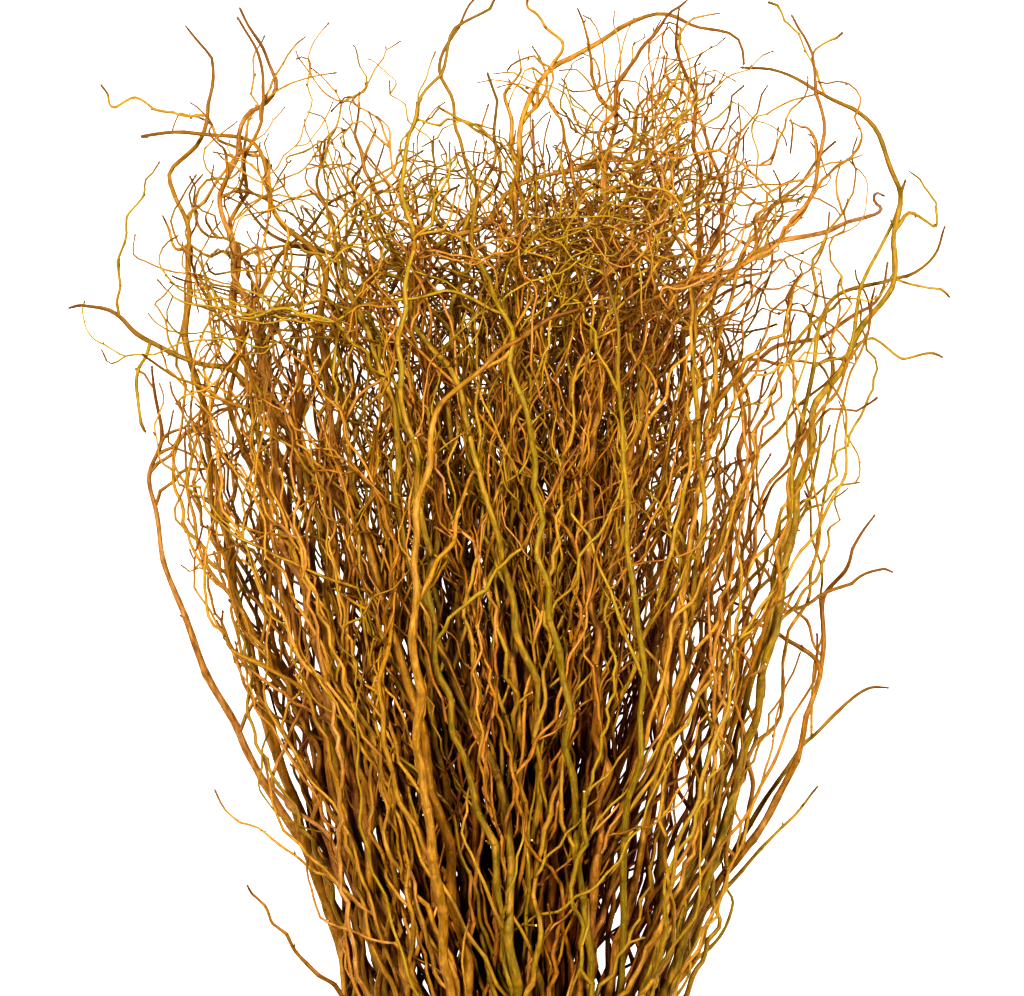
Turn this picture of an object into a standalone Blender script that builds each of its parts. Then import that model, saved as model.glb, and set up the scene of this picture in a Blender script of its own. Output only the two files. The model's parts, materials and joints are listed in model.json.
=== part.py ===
"""A tied bunch of curly willow stems, laid on a flat surface.

Each stem is one cut branch: a wavy leader with its side shoots fused on. All the stems pass through one tie of
wound twine near their cut ends, and fan out from there towards the tips.

The plan has x across the bunch and rise along it, from the cut ends (0) to the highest tips. Z is up from the
surface that the bunch lies on.
"""
import math

import bpy
import numpy as np

# Driving dimensions, in metres
STEM_RISE = 1.505
FAN_MIDDLE = (-0.003, 0.7525)
TIE_RISE = 0.13
TIE_STRAIGHT = 0.012
TWINE = 0.004
TIE_TURNS = 4
TIE_SPOKES = 26
TIE_FLAT = 0.0005
SEAT_GAP = 0.0003
WAIST_GAP = 0.0001

# The outline of the fan: (rise, half width, half height)
FAN_OUTLINE = (
    (0.00, 0.050, 0.045),
    (0.11, 0.040, 0.040),
    (0.15, 0.040, 0.040),
    (0.30, 0.092, 0.068),
    (0.51, 0.165, 0.105),
    (0.70, 0.232, 0.130),
    (0.90, 0.285, 0.150),
    (1.05, 0.322, 0.162),
    (1.20, 0.335, 0.170),
    (1.40, 0.310, 0.170),
    (1.55, 0.280, 0.160),
)
TIP_RADIUS = 0.0011
LEADER_TAPER = 0.72
SWIRL = math.radians(42)

# How the stems are drawn
SEED = 11
CROWD_STEMS = 30
CUT_RADIUS = (0.0042, 0.0066)
CROWD_TIPS = (1.22, 1.46)

# The shoots of each stem, from low forks to high twigs: (rise of the root, length, angle to the leader), as ranges
SHOOTS = (
    ((0.24, 0.46), (0.62, 0.88), (0.22, 0.42)),
    ((0.50, 0.78), (0.40, 0.58), (0.35, 0.65)),
    ((0.78, 1.08), (0.26, 0.40), (0.45, 0.80)),
)
LOOSE_FROM = 0.85
LOOSE_OVER = 0.40
STEADY = 0.82
LEADER_STEP = 0.070
SHOOT_STEP = 0.066
LEADER_SIDES = 5
SHOOT_SIDES = 3
CLEARANCE = 0.0009
LACKING = 0.0004
PUSHES = 200

# Stems that reach out of the crowd: the height at which each settles, the (x, rise) of places along its leader
# from where it shows, and the routes of its own twigs, each from its root on the stem.
REACHING_STEMS = {
    "right_arch": (0.150, (
        (0.188, 0.605), (0.233, 0.745), (0.263, 0.865), (0.283, 0.985), (0.303, 1.085), (0.338, 1.155),
        (0.372, 1.210), (0.387, 1.273), (0.381, 1.335), (0.356, 1.380), (0.313, 1.410), (0.283, 1.425),
        (0.233, 1.439),
    ), (
        ((0.313, 1.410), (0.300, 1.440), (0.310, 1.456), (0.326, 1.467)),
        ((0.300, 1.440), (0.284, 1.462), (0.272, 1.485), (0.256, 1.500)),
        ((0.338, 1.155), (0.348, 1.215), (0.372, 1.262), (0.392, 1.320)),
    )),
    "centre_arch": (0.190, (
        (0.040, 0.600), (0.020, 0.800), (0.004, 0.985), (0.003, 1.170), (0.006, 1.330), (0.016, 1.385),
        (0.036, 1.427), (0.078, 1.455), (0.143, 1.484), (0.183, 1.474), (0.219, 1.460), (0.229, 1.441),
    ), (
        ((0.036, 1.427), (0.048, 1.450), (0.030, 1.476), (0.014, 1.488), (0.016, 1.502)),
    )),
    "top_right": (0.230, (
        (0.080, 0.600), (0.085, 0.800), (0.075, 1.000), (0.090, 1.180), (0.088, 1.300), (0.100, 1.400),
        (0.118, 1.440), (0.143, 1.468), (0.165, 1.500),
    ), ()),
    "left_arm": (0.140, (
        (-0.150, 0.605), (-0.177, 0.745), (-0.187, 0.865), (-0.194, 0.965), (-0.212, 1.055), (-0.250, 1.110),
        (-0.307, 1.138), (-0.362, 1.163), (-0.394, 1.189), (-0.427, 1.207), (-0.447, 1.203),
    ), (
        ((-0.380, 1.178), (-0.395, 1.212), (-0.390, 1.243)),
        ((-0.340, 1.152), (-0.372, 1.120), (-0.366, 1.075)),
    )),
    "left_edge": (0.090, (
        (-0.182, 0.575), (-0.237, 0.745), (-0.272, 0.865), (-0.297, 0.985), (-0.312, 1.085), (-0.334, 1.185),
        (-0.328, 1.265), (-0.344, 1.315), (-0.350, 1.340), (-0.320, 1.370), (-0.309, 1.395), (-0.309, 1.435),
        (-0.327, 1.483),
    ), (
        ((-0.309, 1.395), (-0.347, 1.397), (-0.377, 1.404), (-0.404, 1.399), (-0.411, 1.420)),
        ((-0.330, 1.225), (-0.342, 1.262), (-0.354, 1.290)),
    )),
    "left_low": (0.045, (
        (-0.160, 0.509), (-0.202, 0.625), (-0.262, 0.730), (-0.297, 0.793), (-0.322, 0.850), (-0.347, 0.910),
        (-0.362, 0.965), (-0.374, 1.025), (-0.362, 1.075), (-0.369, 1.140),
    ), (
        ((-0.125, 0.440), (-0.178, 0.500), (-0.220, 0.540), (-0.250, 0.583), (-0.270, 0.608)),
        ((-0.202, 0.625), (-0.222, 0.700), (-0.262, 0.790), (-0.300, 0.880)),
    )),
    "right_reach": (0.050, (
        (0.165, 0.500), (0.200, 0.580), (0.233, 0.655), (0.273, 0.715), (0.308, 0.760), (0.338, 0.793),
        (0.363, 0.810), (0.385, 0.812),
    ), (
        ((0.200, 0.580), (0.238, 0.625), (0.288, 0.680), (0.308, 0.710)),
    )),
    "right_mid": (0.105, (
        (0.150, 0.545), (0.188, 0.675), (0.213, 0.805), (0.238, 0.865), (0.273, 0.895), (0.313, 0.907),
        (0.348, 0.929), (0.381, 0.928),
    ), ()),
    "right_fork": (0.075, (
        (0.175, 0.545), (0.233, 0.645), (0.278, 0.715), (0.303, 0.785), (0.316, 0.845), (0.318, 0.905),
        (0.345, 0.940), (0.365, 0.987),
    ), ()),
    "far_right": (0.120, (
        (0.170, 0.600), (0.220, 0.750), (0.262, 0.900), (0.287, 1.050), (0.300, 1.140), (0.318, 1.205),
        (0.353, 1.220), (0.383, 1.233), (0.408, 1.240), (0.426, 1.255), (0.438, 1.278),
    ), (
        ((0.383, 1.233), (0.413, 1.217), (0.440, 1.211)),
        ((0.300, 1.140), (0.350, 1.160), (0.395, 1.152), (0.428, 1.148)),
    )),
    "front_arch": (0.315, (
        (-0.060, 0.510), (-0.075, 0.655), (-0.090, 0.805), (-0.094, 0.905), (-0.087, 0.985), (-0.075, 1.065),
        (-0.054, 1.110), (-0.022, 1.140), (0.018, 1.163), (0.063, 1.187),
    ), ()),
    "left_top": (0.150, (
        (-0.130, 0.600), (-0.180, 0.800), (-0.225, 1.000), (-0.250, 1.150), (-0.280, 1.250), (-0.283, 1.320),
        (-0.270, 1.370), (-0.245, 1.400), (-0.233, 1.425), (-0.247, 1.455), (-0.266, 1.500),
    ), ()),
    "middle_top": (0.200, (
        (-0.045, 0.600), (-0.080, 0.800), (-0.070, 1.000), (-0.055, 1.200), (-0.040, 1.330), (-0.057, 1.400),
        (-0.066, 1.432), (-0.060, 1.462), (-0.034, 1.500),
    ), ()),
    "right_shoulder": (0.210, (
        (0.120, 0.600), (0.150, 0.800), (0.185, 1.000), (0.205, 1.150), (0.233, 1.255), (0.268, 1.305),
        (0.293, 1.333), (0.316, 1.355),
    ), ()),
}
SETTLE_RISE = 0.88

BARK = {"olive": (0.300, 0.235, 0.035, 1), "gold": (0.430, 0.215, 0.030, 1), "brown": (0.330, 0.140, 0.035, 1)}
TWINE_COLOUR = (0.48, 0.36, 0.21, 1)


def ease(value):
    """0 to 1 with no corner at either end."""
    value = min(1.0, max(0.0, value))
    return value * value * (3 - 2 * value)


def unit(vector):
    return vector / max(1e-12, float(np.linalg.norm(vector)))


def outline_at(rise):
    """Half width and half height of the fan at this rise."""
    rises, widths, heights = zip(*FAN_OUTLINE)
    return float(np.interp(rise, rises, widths)), float(np.interp(rise, rises, heights))


def leader_radius(cut_radius, share):
    """Radius at this share of the leader, from its cut end (0) to its tip (1)."""
    return TIP_RADIUS + (cut_radius - TIP_RADIUS) * (1 - share) ** LEADER_TAPER


def shares(points):
    """How far along its length each point of a limb is, from 0 to 1."""
    along = np.concatenate([[0], np.cumsum(np.linalg.norm(np.diff(points, axis=0), axis=1))])
    return along / along[-1]


def through(points, step):
    """Points about one step apart on a smooth curve through the given ones."""
    points = np.asarray(points, float)
    before = np.vstack([2 * points[0] - points[1], points[:-1]])
    after = np.vstack([points[1:], 2 * points[-1] - points[-2]])
    slopes = (after - before) / 2
    made = [points[0]]
    for k in range(len(points) - 1):
        pieces = max(1, round(float(np.linalg.norm(points[k + 1] - points[k])) / step))
        for t in np.arange(1, pieces + 1) / pieces:
            made.append(
                (2 * t**3 - 3 * t**2 + 1) * points[k] + (t**3 - 2 * t**2 + t) * slopes[k]
                + (3 * t**2 - 2 * t**3) * points[k + 1] + (t**3 - t**2) * slopes[k + 1]
            )
    return np.array(made)


class Limb:
    """A leader, shoot or twig: points on its middle line, its radius at each, and the point it grows from."""

    def __init__(self, points, radii, sides, parent=None, root=0):
        self.points = np.array(points, float)
        self.radii = np.array(radii, float)
        self.sides = sides
        self.parent = parent
        self.root = root


class Fan:
    """The lanes of the stems: their places in the tie, and where each place would lead at any rise.

    A lane is a place in a disc of radius 1. The disc grows with the fan, turns with the swirl of the stems, and
    its lower half drops flat onto the surface as the stems leave the tie.
    """

    def __init__(self, radii):
        self.radii = radii
        self.centres = packed(radii + WAIST_GAP / 2)
        self.waist = outline_at(TIE_RISE)[0]
        self.lanes = self.centres / self.waist
        lowest = float((self.centres[:, 1] - radii).min())
        self.middle_height = TWINE - TIE_FLAT + SEAT_GAP - lowest
        self.base = self.middle_height - self.waist

    def point(self, lane, rise):
        half_width, half_height = outline_at(rise)
        turn = SWIRL * ease((rise - TIE_RISE - TIE_STRAIGHT) / 1.2)
        a = lane[0] * math.cos(turn) - lane[1] * math.sin(turn)
        b = lane[0] * math.sin(turn) + lane[1] * math.cos(turn)
        settled = ease((rise - TIE_RISE - TIE_STRAIGHT) / 0.35)
        under = 1 - settled * (1 - math.sqrt(max(0.0, 1 - a * a)))
        return np.array((a * half_width, rise, self.base + half_height * (b + under)))

    def nearest(self, wanted, taken):
        """The free lane nearest to a wanted place in the waist."""
        far = [float(np.hypot(*(lane - wanted))) + 9 * (k in taken) for k, lane in enumerate(self.lanes)]
        return int(np.argmin(far))


def packed(radii):
    """Centres of circles of these radii, as near each other and the middle as they can lie."""
    count = len(radii)
    order = np.arange(count)
    angle = order * math.pi * (3 - math.sqrt(5))
    spread = 1.1 * math.sqrt(float((radii**2).sum()) / count)
    centres = (spread * np.sqrt(order + 0.5))[:, None] * np.stack([np.cos(angle), np.sin(angle)], 1)
    wanted = radii[:, None] + radii[None]
    for turn in range(2400):
        if turn < 1500:
            centres *= 1 - 0.004 * (1 - turn / 1500)
        offset = centres[:, None] - centres[None]
        distance = np.linalg.norm(offset, axis=2) + np.eye(count)
        overlap = np.maximum(0, wanted - distance) * (1 - np.eye(count))
        centres += 0.45 * (overlap[..., None] * offset / distance[..., None]).sum(1)
    return centres


def kept_in(point):
    """The point, brought back into the fan where it would stray far out of it."""
    half_width, half_height = outline_at(point[1])
    half_width *= 1.18
    return np.array((
        min(half_width, max(-half_width, point[0])),
        min(STEM_RISE - 0.010, point[1]),
        min(1.95 * half_height, max(0.003, point[2])),
    ))


def steadied(heading, loose):
    """The heading, kept from turning sideways where the stems still run side by side (loose near 0)."""
    least = STEADY * (1 - loose)
    if heading[1] < least:
        across = unit(heading * (1.0, 0.0, 1.0)) * math.sqrt(1 - least**2)
        heading = across + (0.0, least, 0.0)
    return heading


def leader_in_crowd(fan, lane, cut_radius, rise_end, draw):
    """A leader that follows its lane closely out of the tie, and more and more loosely towards its tip."""
    points = [fan.point(lane, rise) for rise in (0.0, TIE_RISE - TIE_STRAIGHT, TIE_RISE + TIE_STRAIGHT, 0.22, 0.30)]
    heading = unit(points[-1] - points[-2])
    bend = draw.normal(size=3)
    while points[-1][1] < rise_end and len(points) < 24:
        here = points[-1]
        loose = ease((here[1] - LOOSE_FROM) / LOOSE_OVER)
        ahead = unit(fan.point(lane, here[1] + 0.14) - here)
        bend = 0.45 * bend + 0.9 * draw.normal(size=3)
        heading = unit(heading + (0.70 - 0.40 * loose) * (ahead - heading) + (0.08 + 0.22 * loose) * bend)
        heading = steadied(heading, loose)
        points.append(kept_in(here + LEADER_STEP * heading))
    return Limb(points, leader_radius(cut_radius, shares(points)), LEADER_SIDES)


def leader_on_route(fan, lane, cut_radius, height, route):
    """A leader that leaves the tie by its lane and then follows its own route, settling at a height."""
    points = [fan.point(lane, rise) for rise in (0.0, TIE_RISE - TIE_STRAIGHT, TIE_RISE + TIE_STRAIGHT)]
    level = points[-1][2]
    for x, rise in route:
        settled = ease((rise - TIE_RISE) / (SETTLE_RISE - TIE_RISE))
        points.append(np.array((x, rise, level + settled * (height - level) + 0.010 * math.sin(19 * rise + 40 * x))))
    points = np.vstack([points[:2], through(points[2:], LEADER_STEP)])
    return Limb(points, leader_radius(cut_radius, shares(points)), LEADER_SIDES)


def twig_on_route(limbs, route):
    """A twig on its own route, rooted in the nearest point of the stem made so far."""
    start = np.array(route[0])
    far = [np.linalg.norm(limb.points[:, :2] - start, axis=1) for limb in limbs]
    which = int(np.argmin([f[:-1].min() for f in far]))
    parent, at = limbs[which], int(np.argmin(far[which][:-1]))
    root = parent.points[at]
    points = [root]
    for k, (x, rise) in enumerate(route[1:], 1):
        points.append(np.array((x, rise, root[2] + 0.008 * k)))
    points = through(points, SHOOT_STEP)
    radii = np.linspace(min(0.0024, 0.72 * parent.radii[at]), TIP_RADIUS, len(points))
    return Limb(points, radii, SHOOT_SIDES, parent, at)


def shoot_in_crowd(leader, at, length, lean, spin, draw):
    """A side shoot that leaves the leader at an angle, then grows outwards with the fan, curling."""
    along = unit(leader.points[at + 1] - leader.points[at])
    side = unit(np.cross(along, (0.0, 0.0, 1.0)))
    above = np.cross(side, along)
    heading = unit(along * math.cos(lean) + (side * math.cos(spin) + above * math.sin(spin)) * math.sin(lean))
    points = [leader.points[at]]
    bend = draw.normal(size=3)
    for _ in range(max(2, round(length / SHOOT_STEP))):
        here = points[-1]
        half_width, half_height = outline_at(here[1])
        outward = unit(np.array((0.3 * here[0] / half_width, 1.0, 0.12 * (here[2] / half_height - 0.5))))
        loose = ease((here[1] - LOOSE_FROM) / LOOSE_OVER)
        if abs(here[0]) > 0.95 * half_width:
            outward[0] -= math.copysign(1.2, here[0])
        if here[2] > 1.5 * half_height:
            outward[2] -= 1.2
        if here[2] < 0.02:
            outward[2] += 0.3
        if here[1] > STEM_RISE - 0.10:
            outward[1] -= 1.6
        bend = 0.5 * bend + 0.85 * draw.normal(size=3)
        heading = steadied(unit(heading + 0.25 * (outward - heading) + (0.12 + 0.16 * loose) * bend), loose)
        points.append(kept_in(here + SHOOT_STEP * heading))
    base = 0.62 * leader.radii[at]
    radii = TIP_RADIUS + (base - TIP_RADIUS) * (1 - np.linspace(0, 1, len(points))) ** 0.8
    return Limb(points, radii, SHOOT_SIDES, leader, at)


class Tangle:
    """All the limbs as one list of points and segments, to find where stems come near each other."""

    def __init__(self, stems):
        self.limbs = [limb for limbs in stems.values() for limb in limbs]
        owners = [k for k, limbs in enumerate(stems.values()) for _ in limbs]
        counts = np.array([len(limb.points) for limb in self.limbs])
        self.starts = np.concatenate([[0], np.cumsum(counts)])
        self.points = np.concatenate([limb.points for limb in self.limbs])
        self.radii = np.concatenate([limb.radii for limb in self.limbs])
        index = np.arange(len(self.points))
        limb_of = np.repeat(np.arange(len(self.limbs)), counts)
        self.heads = index[:-1][limb_of[:-1] == limb_of[1:]]
        self.owner = np.repeat(owners, counts)[self.heads]
        self.limb_of = limb_of[self.heads]
        self.before = np.where(np.isin(index, self.starts[:-1]), index, index - 1)
        self.after = np.where(np.isin(index, self.starts[1:] - 1), index, index + 1)
        self.roots = [
            (self.starts[k], self.starts[self.limbs.index(limb.parent)] + limb.root)
            for k, limb in enumerate(self.limbs) if limb.parent is not None
        ]
        leaders = [self.starts[k] for k, limb in enumerate(self.limbs) if limb.parent is None]
        self.held = [start + j for start in leaders for j in (1, 2)]
        self.room = self.radii + CLEARANCE / 2
        for start in leaders:
            self.room[start:start + 3] = self.radii[start:start + 3] + WAIST_GAP / 2

    def near_pairs(self, margin):
        """Pairs of segments of different stems whose bounding balls come within the margin."""
        a, b = self.points[self.heads], self.points[self.heads + 1]
        middle = (a + b) / 2
        ball = np.linalg.norm(b - a, axis=1) / 2 + self.room[self.heads] + margin / 2
        first, second = [], []
        for k in range(len(middle) - 1):
            far = np.linalg.norm(middle[k + 1:] - middle[k], axis=1)
            found = np.nonzero((far < ball[k] + ball[k + 1:]) & (self.owner[k + 1:] != self.owner[k]))[0]
            first.append(np.full(len(found), k))
            second.append(found + k + 1)
        return np.concatenate(first), np.concatenate(second)

    def gaps(self, first, second):
        """For each pair of segments: the spare room, the way apart, and the shares at the nearest places."""
        i, j = self.heads[first], self.heads[second]
        p, q = self.points[i], self.points[j]
        u, v = self.points[i + 1] - p, self.points[j + 1] - q
        w = p - q
        uu, vv, uv = (u * u).sum(1), (v * v).sum(1), (u * v).sum(1)
        uw, vw = (u * w).sum(1), (v * w).sum(1)
        s = np.clip((uv * vw - vv * uw) / np.maximum(uu * vv - uv * uv, 1e-15), 0, 1)
        t = np.clip((uv * s + vw) / np.maximum(vv, 1e-15), 0, 1)
        s = np.clip((uv * t - uw) / np.maximum(uu, 1e-15), 0, 1)
        apart = w + s[:, None] * u - t[:, None] * v
        distance = np.linalg.norm(apart, axis=1)
        crossing = np.cross(u, v)
        crossing /= np.maximum(1e-12, np.linalg.norm(crossing, axis=1))[:, None]
        way = np.where((distance > 2e-4)[:, None], apart / np.maximum(1e-12, distance)[:, None], crossing)
        room = self.room
        return distance - room[i] * (1 - s) - room[i + 1] * s - room[j] * (1 - t) - room[j + 1] * t, way, s, t

    def settle(self):
        """Keeps the tied places, the roots and the floor after a push."""
        self.points[self.held] = self.tied
        for root, place in self.roots:
            self.points[root] = self.points[place]
        self.points[:, 2] = np.maximum(self.points[:, 2], 0.86 * self.radii)

    def pushed_apart(self, rounds):
        """Bends the limbs until no stem is in another's way, and writes the new points back to them."""
        start = self.points.copy()
        self.tied = start[self.held]
        self.settle()
        for turn in range(rounds):
            if turn % 8 == 0:
                first, second = self.near_pairs(0.016)
            spare, way, s, t = self.gaps(first, second)
            tight = spare < LACKING / 3
            if turn > 15 and not (spare < -LACKING).any():
                break
            i, j = self.heads[first][tight], self.heads[second][tight]
            s, t = s[tight][:, None], t[tight][:, None]
            push = 0.5 * np.minimum(0.004, LACKING / 2 - spare[tight])[:, None] * way[tight]
            moved = np.zeros_like(self.points)
            shares = np.full(len(self.points), 1e-9)
            for where, share, sign in ((i, 1 - s, 1), (i + 1, s, 1), (j, 1 - t, -1), (j + 1, t, -1)):
                np.add.at(moved, where, sign * share * push)
                np.add.at(shares, where, (share * share)[:, 0])
            moved /= np.maximum(0.6, np.sqrt(shares))[:, None]
            bent = self.points + moved - start
            bent += 0.06 * ((bent[self.before] + bent[self.after]) / 2 - bent)
            self.points = start + bent
            self.settle()
        for k, limb in enumerate(self.limbs):
            limb.points = self.points[self.starts[k]:self.starts[k + 1]].copy()

    def tight_limbs(self):
        """The limbs that still come too near another stem."""
        first, second = self.near_pairs(0.004)
        tight = self.gaps(first, second)[0] < -LACKING
        return {int(k) for k in np.concatenate([self.limb_of[first[tight]], self.limb_of[second[tight]]])}


def skeleton():
    """{stem name: its limbs, the leader first}, with no stem in another's way."""
    draw = np.random.default_rng(SEED)
    count = len(REACHING_STEMS) + CROWD_STEMS
    cut_radii = draw.uniform(*CUT_RADIUS, count)
    fan = Fan(leader_radius(cut_radii, (TIE_RISE - TIE_STRAIGHT) / 1.45))
    stems, taken = {}, set()
    for name, (height, route, twigs) in REACHING_STEMS.items():
        wanted = np.array((route[0][0] / 0.20, (height - 0.16) / 0.17))
        lane = fan.nearest(wanted / max(1.0, float(np.hypot(*wanted)) / 0.8), taken)
        taken.add(lane)
        stems[f"stem_{name}"] = [leader_on_route(fan, fan.lanes[lane], cut_radii[lane], height, route)]
    free = [k for k in range(count) if k not in taken]
    for number, lane in enumerate(free, 1):
        rise_end = draw.uniform(*CROWD_TIPS)
        stems[f"stem_{number:02d}"] = [leader_in_crowd(fan, fan.lanes[lane], cut_radii[lane], rise_end, draw)]
    Tangle(stems).pushed_apart(PUSHES)
    for name, (height, route, twigs) in REACHING_STEMS.items():
        for twig in twigs:
            stems[f"stem_{name}"].append(twig_on_route(stems[f"stem_{name}"], twig))
    for limbs in stems.values():
        spin = draw.uniform(0, 2 * math.pi)
        wanted = SHOOTS[:1] + SHOOTS[len(limbs):]
        for k, (rise, length, lean) in enumerate(wanted):
            far = np.abs(limbs[0].points[:-3, 1] - draw.uniform(*rise))
            at = max(3, int(np.argmin(far)))
            limbs.append(shoot_in_crowd(limbs[0], at, draw.uniform(*length), draw.uniform(*lean), spin + 2.4 * k, draw))
    for _ in range(4):
        tangle = Tangle(stems)
        tangle.pushed_apart(PUSHES)
        tight = tangle.tight_limbs()
        if not tight:
            break
        for k, limb in enumerate(tangle.limbs):
            if k in tight and limb.parent is not None:
                drop(stems, limb)
    return stems, fan


def drop(stems, limb):
    """Takes a shoot off its stem, unless another limb grows from it."""
    for limbs in stems.values():
        if any(one is limb for one in limbs) and not any(one.parent is limb for one in limbs):
            limbs[:] = [one for one in limbs if one is not limb]


def rings(limb, turn=0.0):
    """The corners of the limb's section at each point, carried along it without twist."""
    points = limb.points
    tangents = np.vstack([points[1] - points[0], points[2:] - points[:-2], points[-1] - points[-2]])
    tangents /= np.linalg.norm(tangents, axis=1)[:, None]
    angles = (turn + 2 * math.pi * np.arange(limb.sides) / limb.sides)[:, None]
    across = unit(np.cross(tangents[0], (0.0, 0.0, 1.0)))
    made = []
    for point, radius, tangent in zip(points, limb.radii, tangents):
        across = unit(across - tangent * float(across @ tangent))
        up = np.cross(tangent, across)
        made.append(point + radius * (np.cos(angles) * across + np.sin(angles) * up))
    made = np.array(made)
    made[..., 2] = np.maximum(0.0, made[..., 2])
    return made


def mesh_object(name, vertices, faces):
    """A closed mesh in the scene, placed with the middle of the fan at the origin, its faces pointing out."""
    vertices = np.asarray(vertices, float) - (*FAN_MIDDLE, 0.0)
    mesh = bpy.data.meshes.new(name)
    mesh.from_pydata(vertices.tolist(), [], faces)
    mesh.calc_loop_triangles()
    triangles = np.array([t.vertices for t in mesh.loop_triangles])
    if np.linalg.det(vertices[triangles]).sum() < 0:
        mesh.flip_normals()
    obj = bpy.data.objects.new(name, mesh)
    bpy.context.scene.collection.objects.link(obj)
    return obj


def tube(name, limb, turn=0.0):
    """A closed tube of the limb's radii along its middle line, flattened where it lies on the surface."""
    sides, count = limb.sides, len(limb.points)
    faces = []
    for ring in range(count - 1):
        for k in range(sides):
            a, b = ring * sides + k, ring * sides + (k + 1) % sides
            faces.append((a, b, b + sides, a + sides))
    faces.append(tuple(range(sides))[::-1])
    faces.append(tuple(range((count - 1) * sides, count * sides)))
    return mesh_object(name, rings(limb, turn).reshape(-1, 3), faces)


def bark(name, colour):
    """A matt material of one colour."""
    material = bpy.data.materials.new(name)
    material.use_nodes = True
    shader = material.node_tree.nodes["Principled BSDF"]
    shader.inputs["Base Color"].default_value = colour
    shader.inputs["Roughness"].default_value = 0.62
    shader.inputs["Metallic"].default_value = 0.0
    material.diffuse_color = colour
    return material


def fuse(obj, others):
    """Joins the others to the object as one body, and removes them."""
    group = bpy.data.collections.new(obj.name + "_shoots")
    bpy.context.scene.collection.children.link(group)
    for other in others:
        bpy.context.scene.collection.objects.unlink(other)
        group.objects.link(other)
    join = obj.modifiers.new("Fused shoots", "BOOLEAN")
    join.operation = "UNION"
    join.solver = "MANIFOLD"
    join.operand_type = "COLLECTION"
    join.collection = group
    bpy.context.view_layer.update()
    graph = bpy.context.evaluated_depsgraph_get()
    joined = bpy.data.meshes.new_from_object(obj.evaluated_get(graph))
    obj.modifiers.clear()
    obj.data = joined
    for other in list(group.objects):
        bpy.data.objects.remove(other)
    bpy.data.collections.remove(group)


def tied_section(limb, turn):
    """The limb's section in the tie, as (x, z) corners."""
    return rings(limb, turn)[1][:, [0, 2]]


def section_gap(first, second):
    """Clear distance between two convex sections along their best separating edge; below 0, they overlap."""
    best = -1.0
    for one, other in ((first, second), (second, first)):
        edges = np.roll(one, -1, axis=0) - one
        normals = np.stack([edges[:, 1], -edges[:, 0]], 1) / np.hypot(*edges.T)[:, None]
        inward = ((one.mean(0) - one) * normals).sum(1) > 0
        normals[inward] *= -1
        best = max(best, float(((other[None] - one[:, None]) * normals[:, None]).sum(2).min(1).max()))
    return best


def seated_turns(leaders):
    """How far each stem is turned about its length, so that in the tie its corners nearly meet its neighbours."""
    choices = np.arange(12) * 2 * math.pi / LEADER_SIDES / 12
    sections = [[tied_section(leader, turn) for turn in choices] for leader in leaders]
    middles = np.array([leader.points[1] for leader in leaders])
    radii = np.array([leader.radii[1] for leader in leaders])
    chosen = np.zeros(len(leaders), int)
    for _ in range(4):
        for i in range(len(leaders)):
            far = np.linalg.norm(middles - middles[i], axis=1)
            near = [j for j in range(len(leaders)) if j != i and far[j] < radii[i] + radii[j] + 0.001]
            scores = []
            for mine in sections[i]:
                gaps = np.array([section_gap(mine, sections[j][chosen[j]]) for j in near])
                scores.append(float(30 * (gaps < SEAT_GAP).sum() - ((gaps >= SEAT_GAP) & (gaps < 0.0009)).sum()))
            chosen[i] = int(np.argmin(scores))
    return choices[chosen]


def tie(leaders, turns):
    """Twine wound in turns side by side round the stems, pulled tight, its ends tucked under the turns."""
    corners = []
    for leader, turn in zip(leaders, turns):
        corners.append(rings(leader, turn)[1:3].reshape(-1, 3))
    corners = np.concatenate(corners)[:, [0, 2]]
    middle = (corners.max(0) + corners.min(0)) / 2
    angles = 2 * math.pi * np.arange(TIE_SPOKES) / TIE_SPOKES - math.pi / 2
    directions = np.stack([np.cos(angles), np.sin(angles)], 1)
    reach = ((corners - middle) @ directions.T).max(0) + SEAT_GAP
    half_turn = math.pi / TIE_SPOKES
    follow = np.roll(reach, -1)
    sideways = (follow - reach * math.cos(2 * half_turn)) / math.sin(2 * half_turn)
    inner = reach[:, None] * directions + sideways[:, None] * np.stack([-directions[:, 1], directions[:, 0]], 1)
    outwards = inner / np.hypot(*inner.T)[:, None]
    half = TIE_TURNS * TWINE / 2
    profile = [(-half, 0.0), (-half, 0.45 * TWINE)]
    for turn in range(TIE_TURNS):
        along = -half + (turn + 0.5) * TWINE
        if turn:
            profile.append((along - TWINE / 2, 0.6 * TWINE))
        profile += [(along - 0.22 * TWINE, TWINE), (along + 0.22 * TWINE, TWINE)]
    profile += [(half, 0.45 * TWINE), (half, 0.0)]
    vertices, faces = [], []
    for place, outward in zip(inner + middle, outwards):
        for along, out in profile:
            x, z = place + out * outward
            vertices.append((x, TIE_RISE + along, max(0.0, z)))
    side = len(profile)
    for spoke in range(TIE_SPOKES):
        after = (spoke + 1) % TIE_SPOKES
        for k in range(side):
            k_after = (k + 1) % side
            faces.append((spoke * side + k, spoke * side + k_after, after * side + k_after, after * side + k))
    return mesh_object("tie", vertices, faces)


def main():
    for obj in list(bpy.data.objects):
        bpy.data.objects.remove(obj)
    stems, fan = skeleton()
    leaders = [limbs[0] for limbs in stems.values()]
    turns = seated_turns(leaders)
    barks = [bark(f"{name}_bark", colour) for name, colour in BARK.items()]
    for number, (name, limbs) in enumerate(stems.items()):
        stem = tube(name, limbs[0], turns[number])
        shoots = [tube(f"{name}_shoot_{k}", limb) for k, limb in enumerate(limbs[1:])]
        if shoots:
            fuse(stem, shoots)
        stem.data.materials.append(barks[number % len(barks)])
    band = tie(leaders, turns)
    band.data.materials.append(bark("jute_twine", TWINE_COLOUR))


main()
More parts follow.
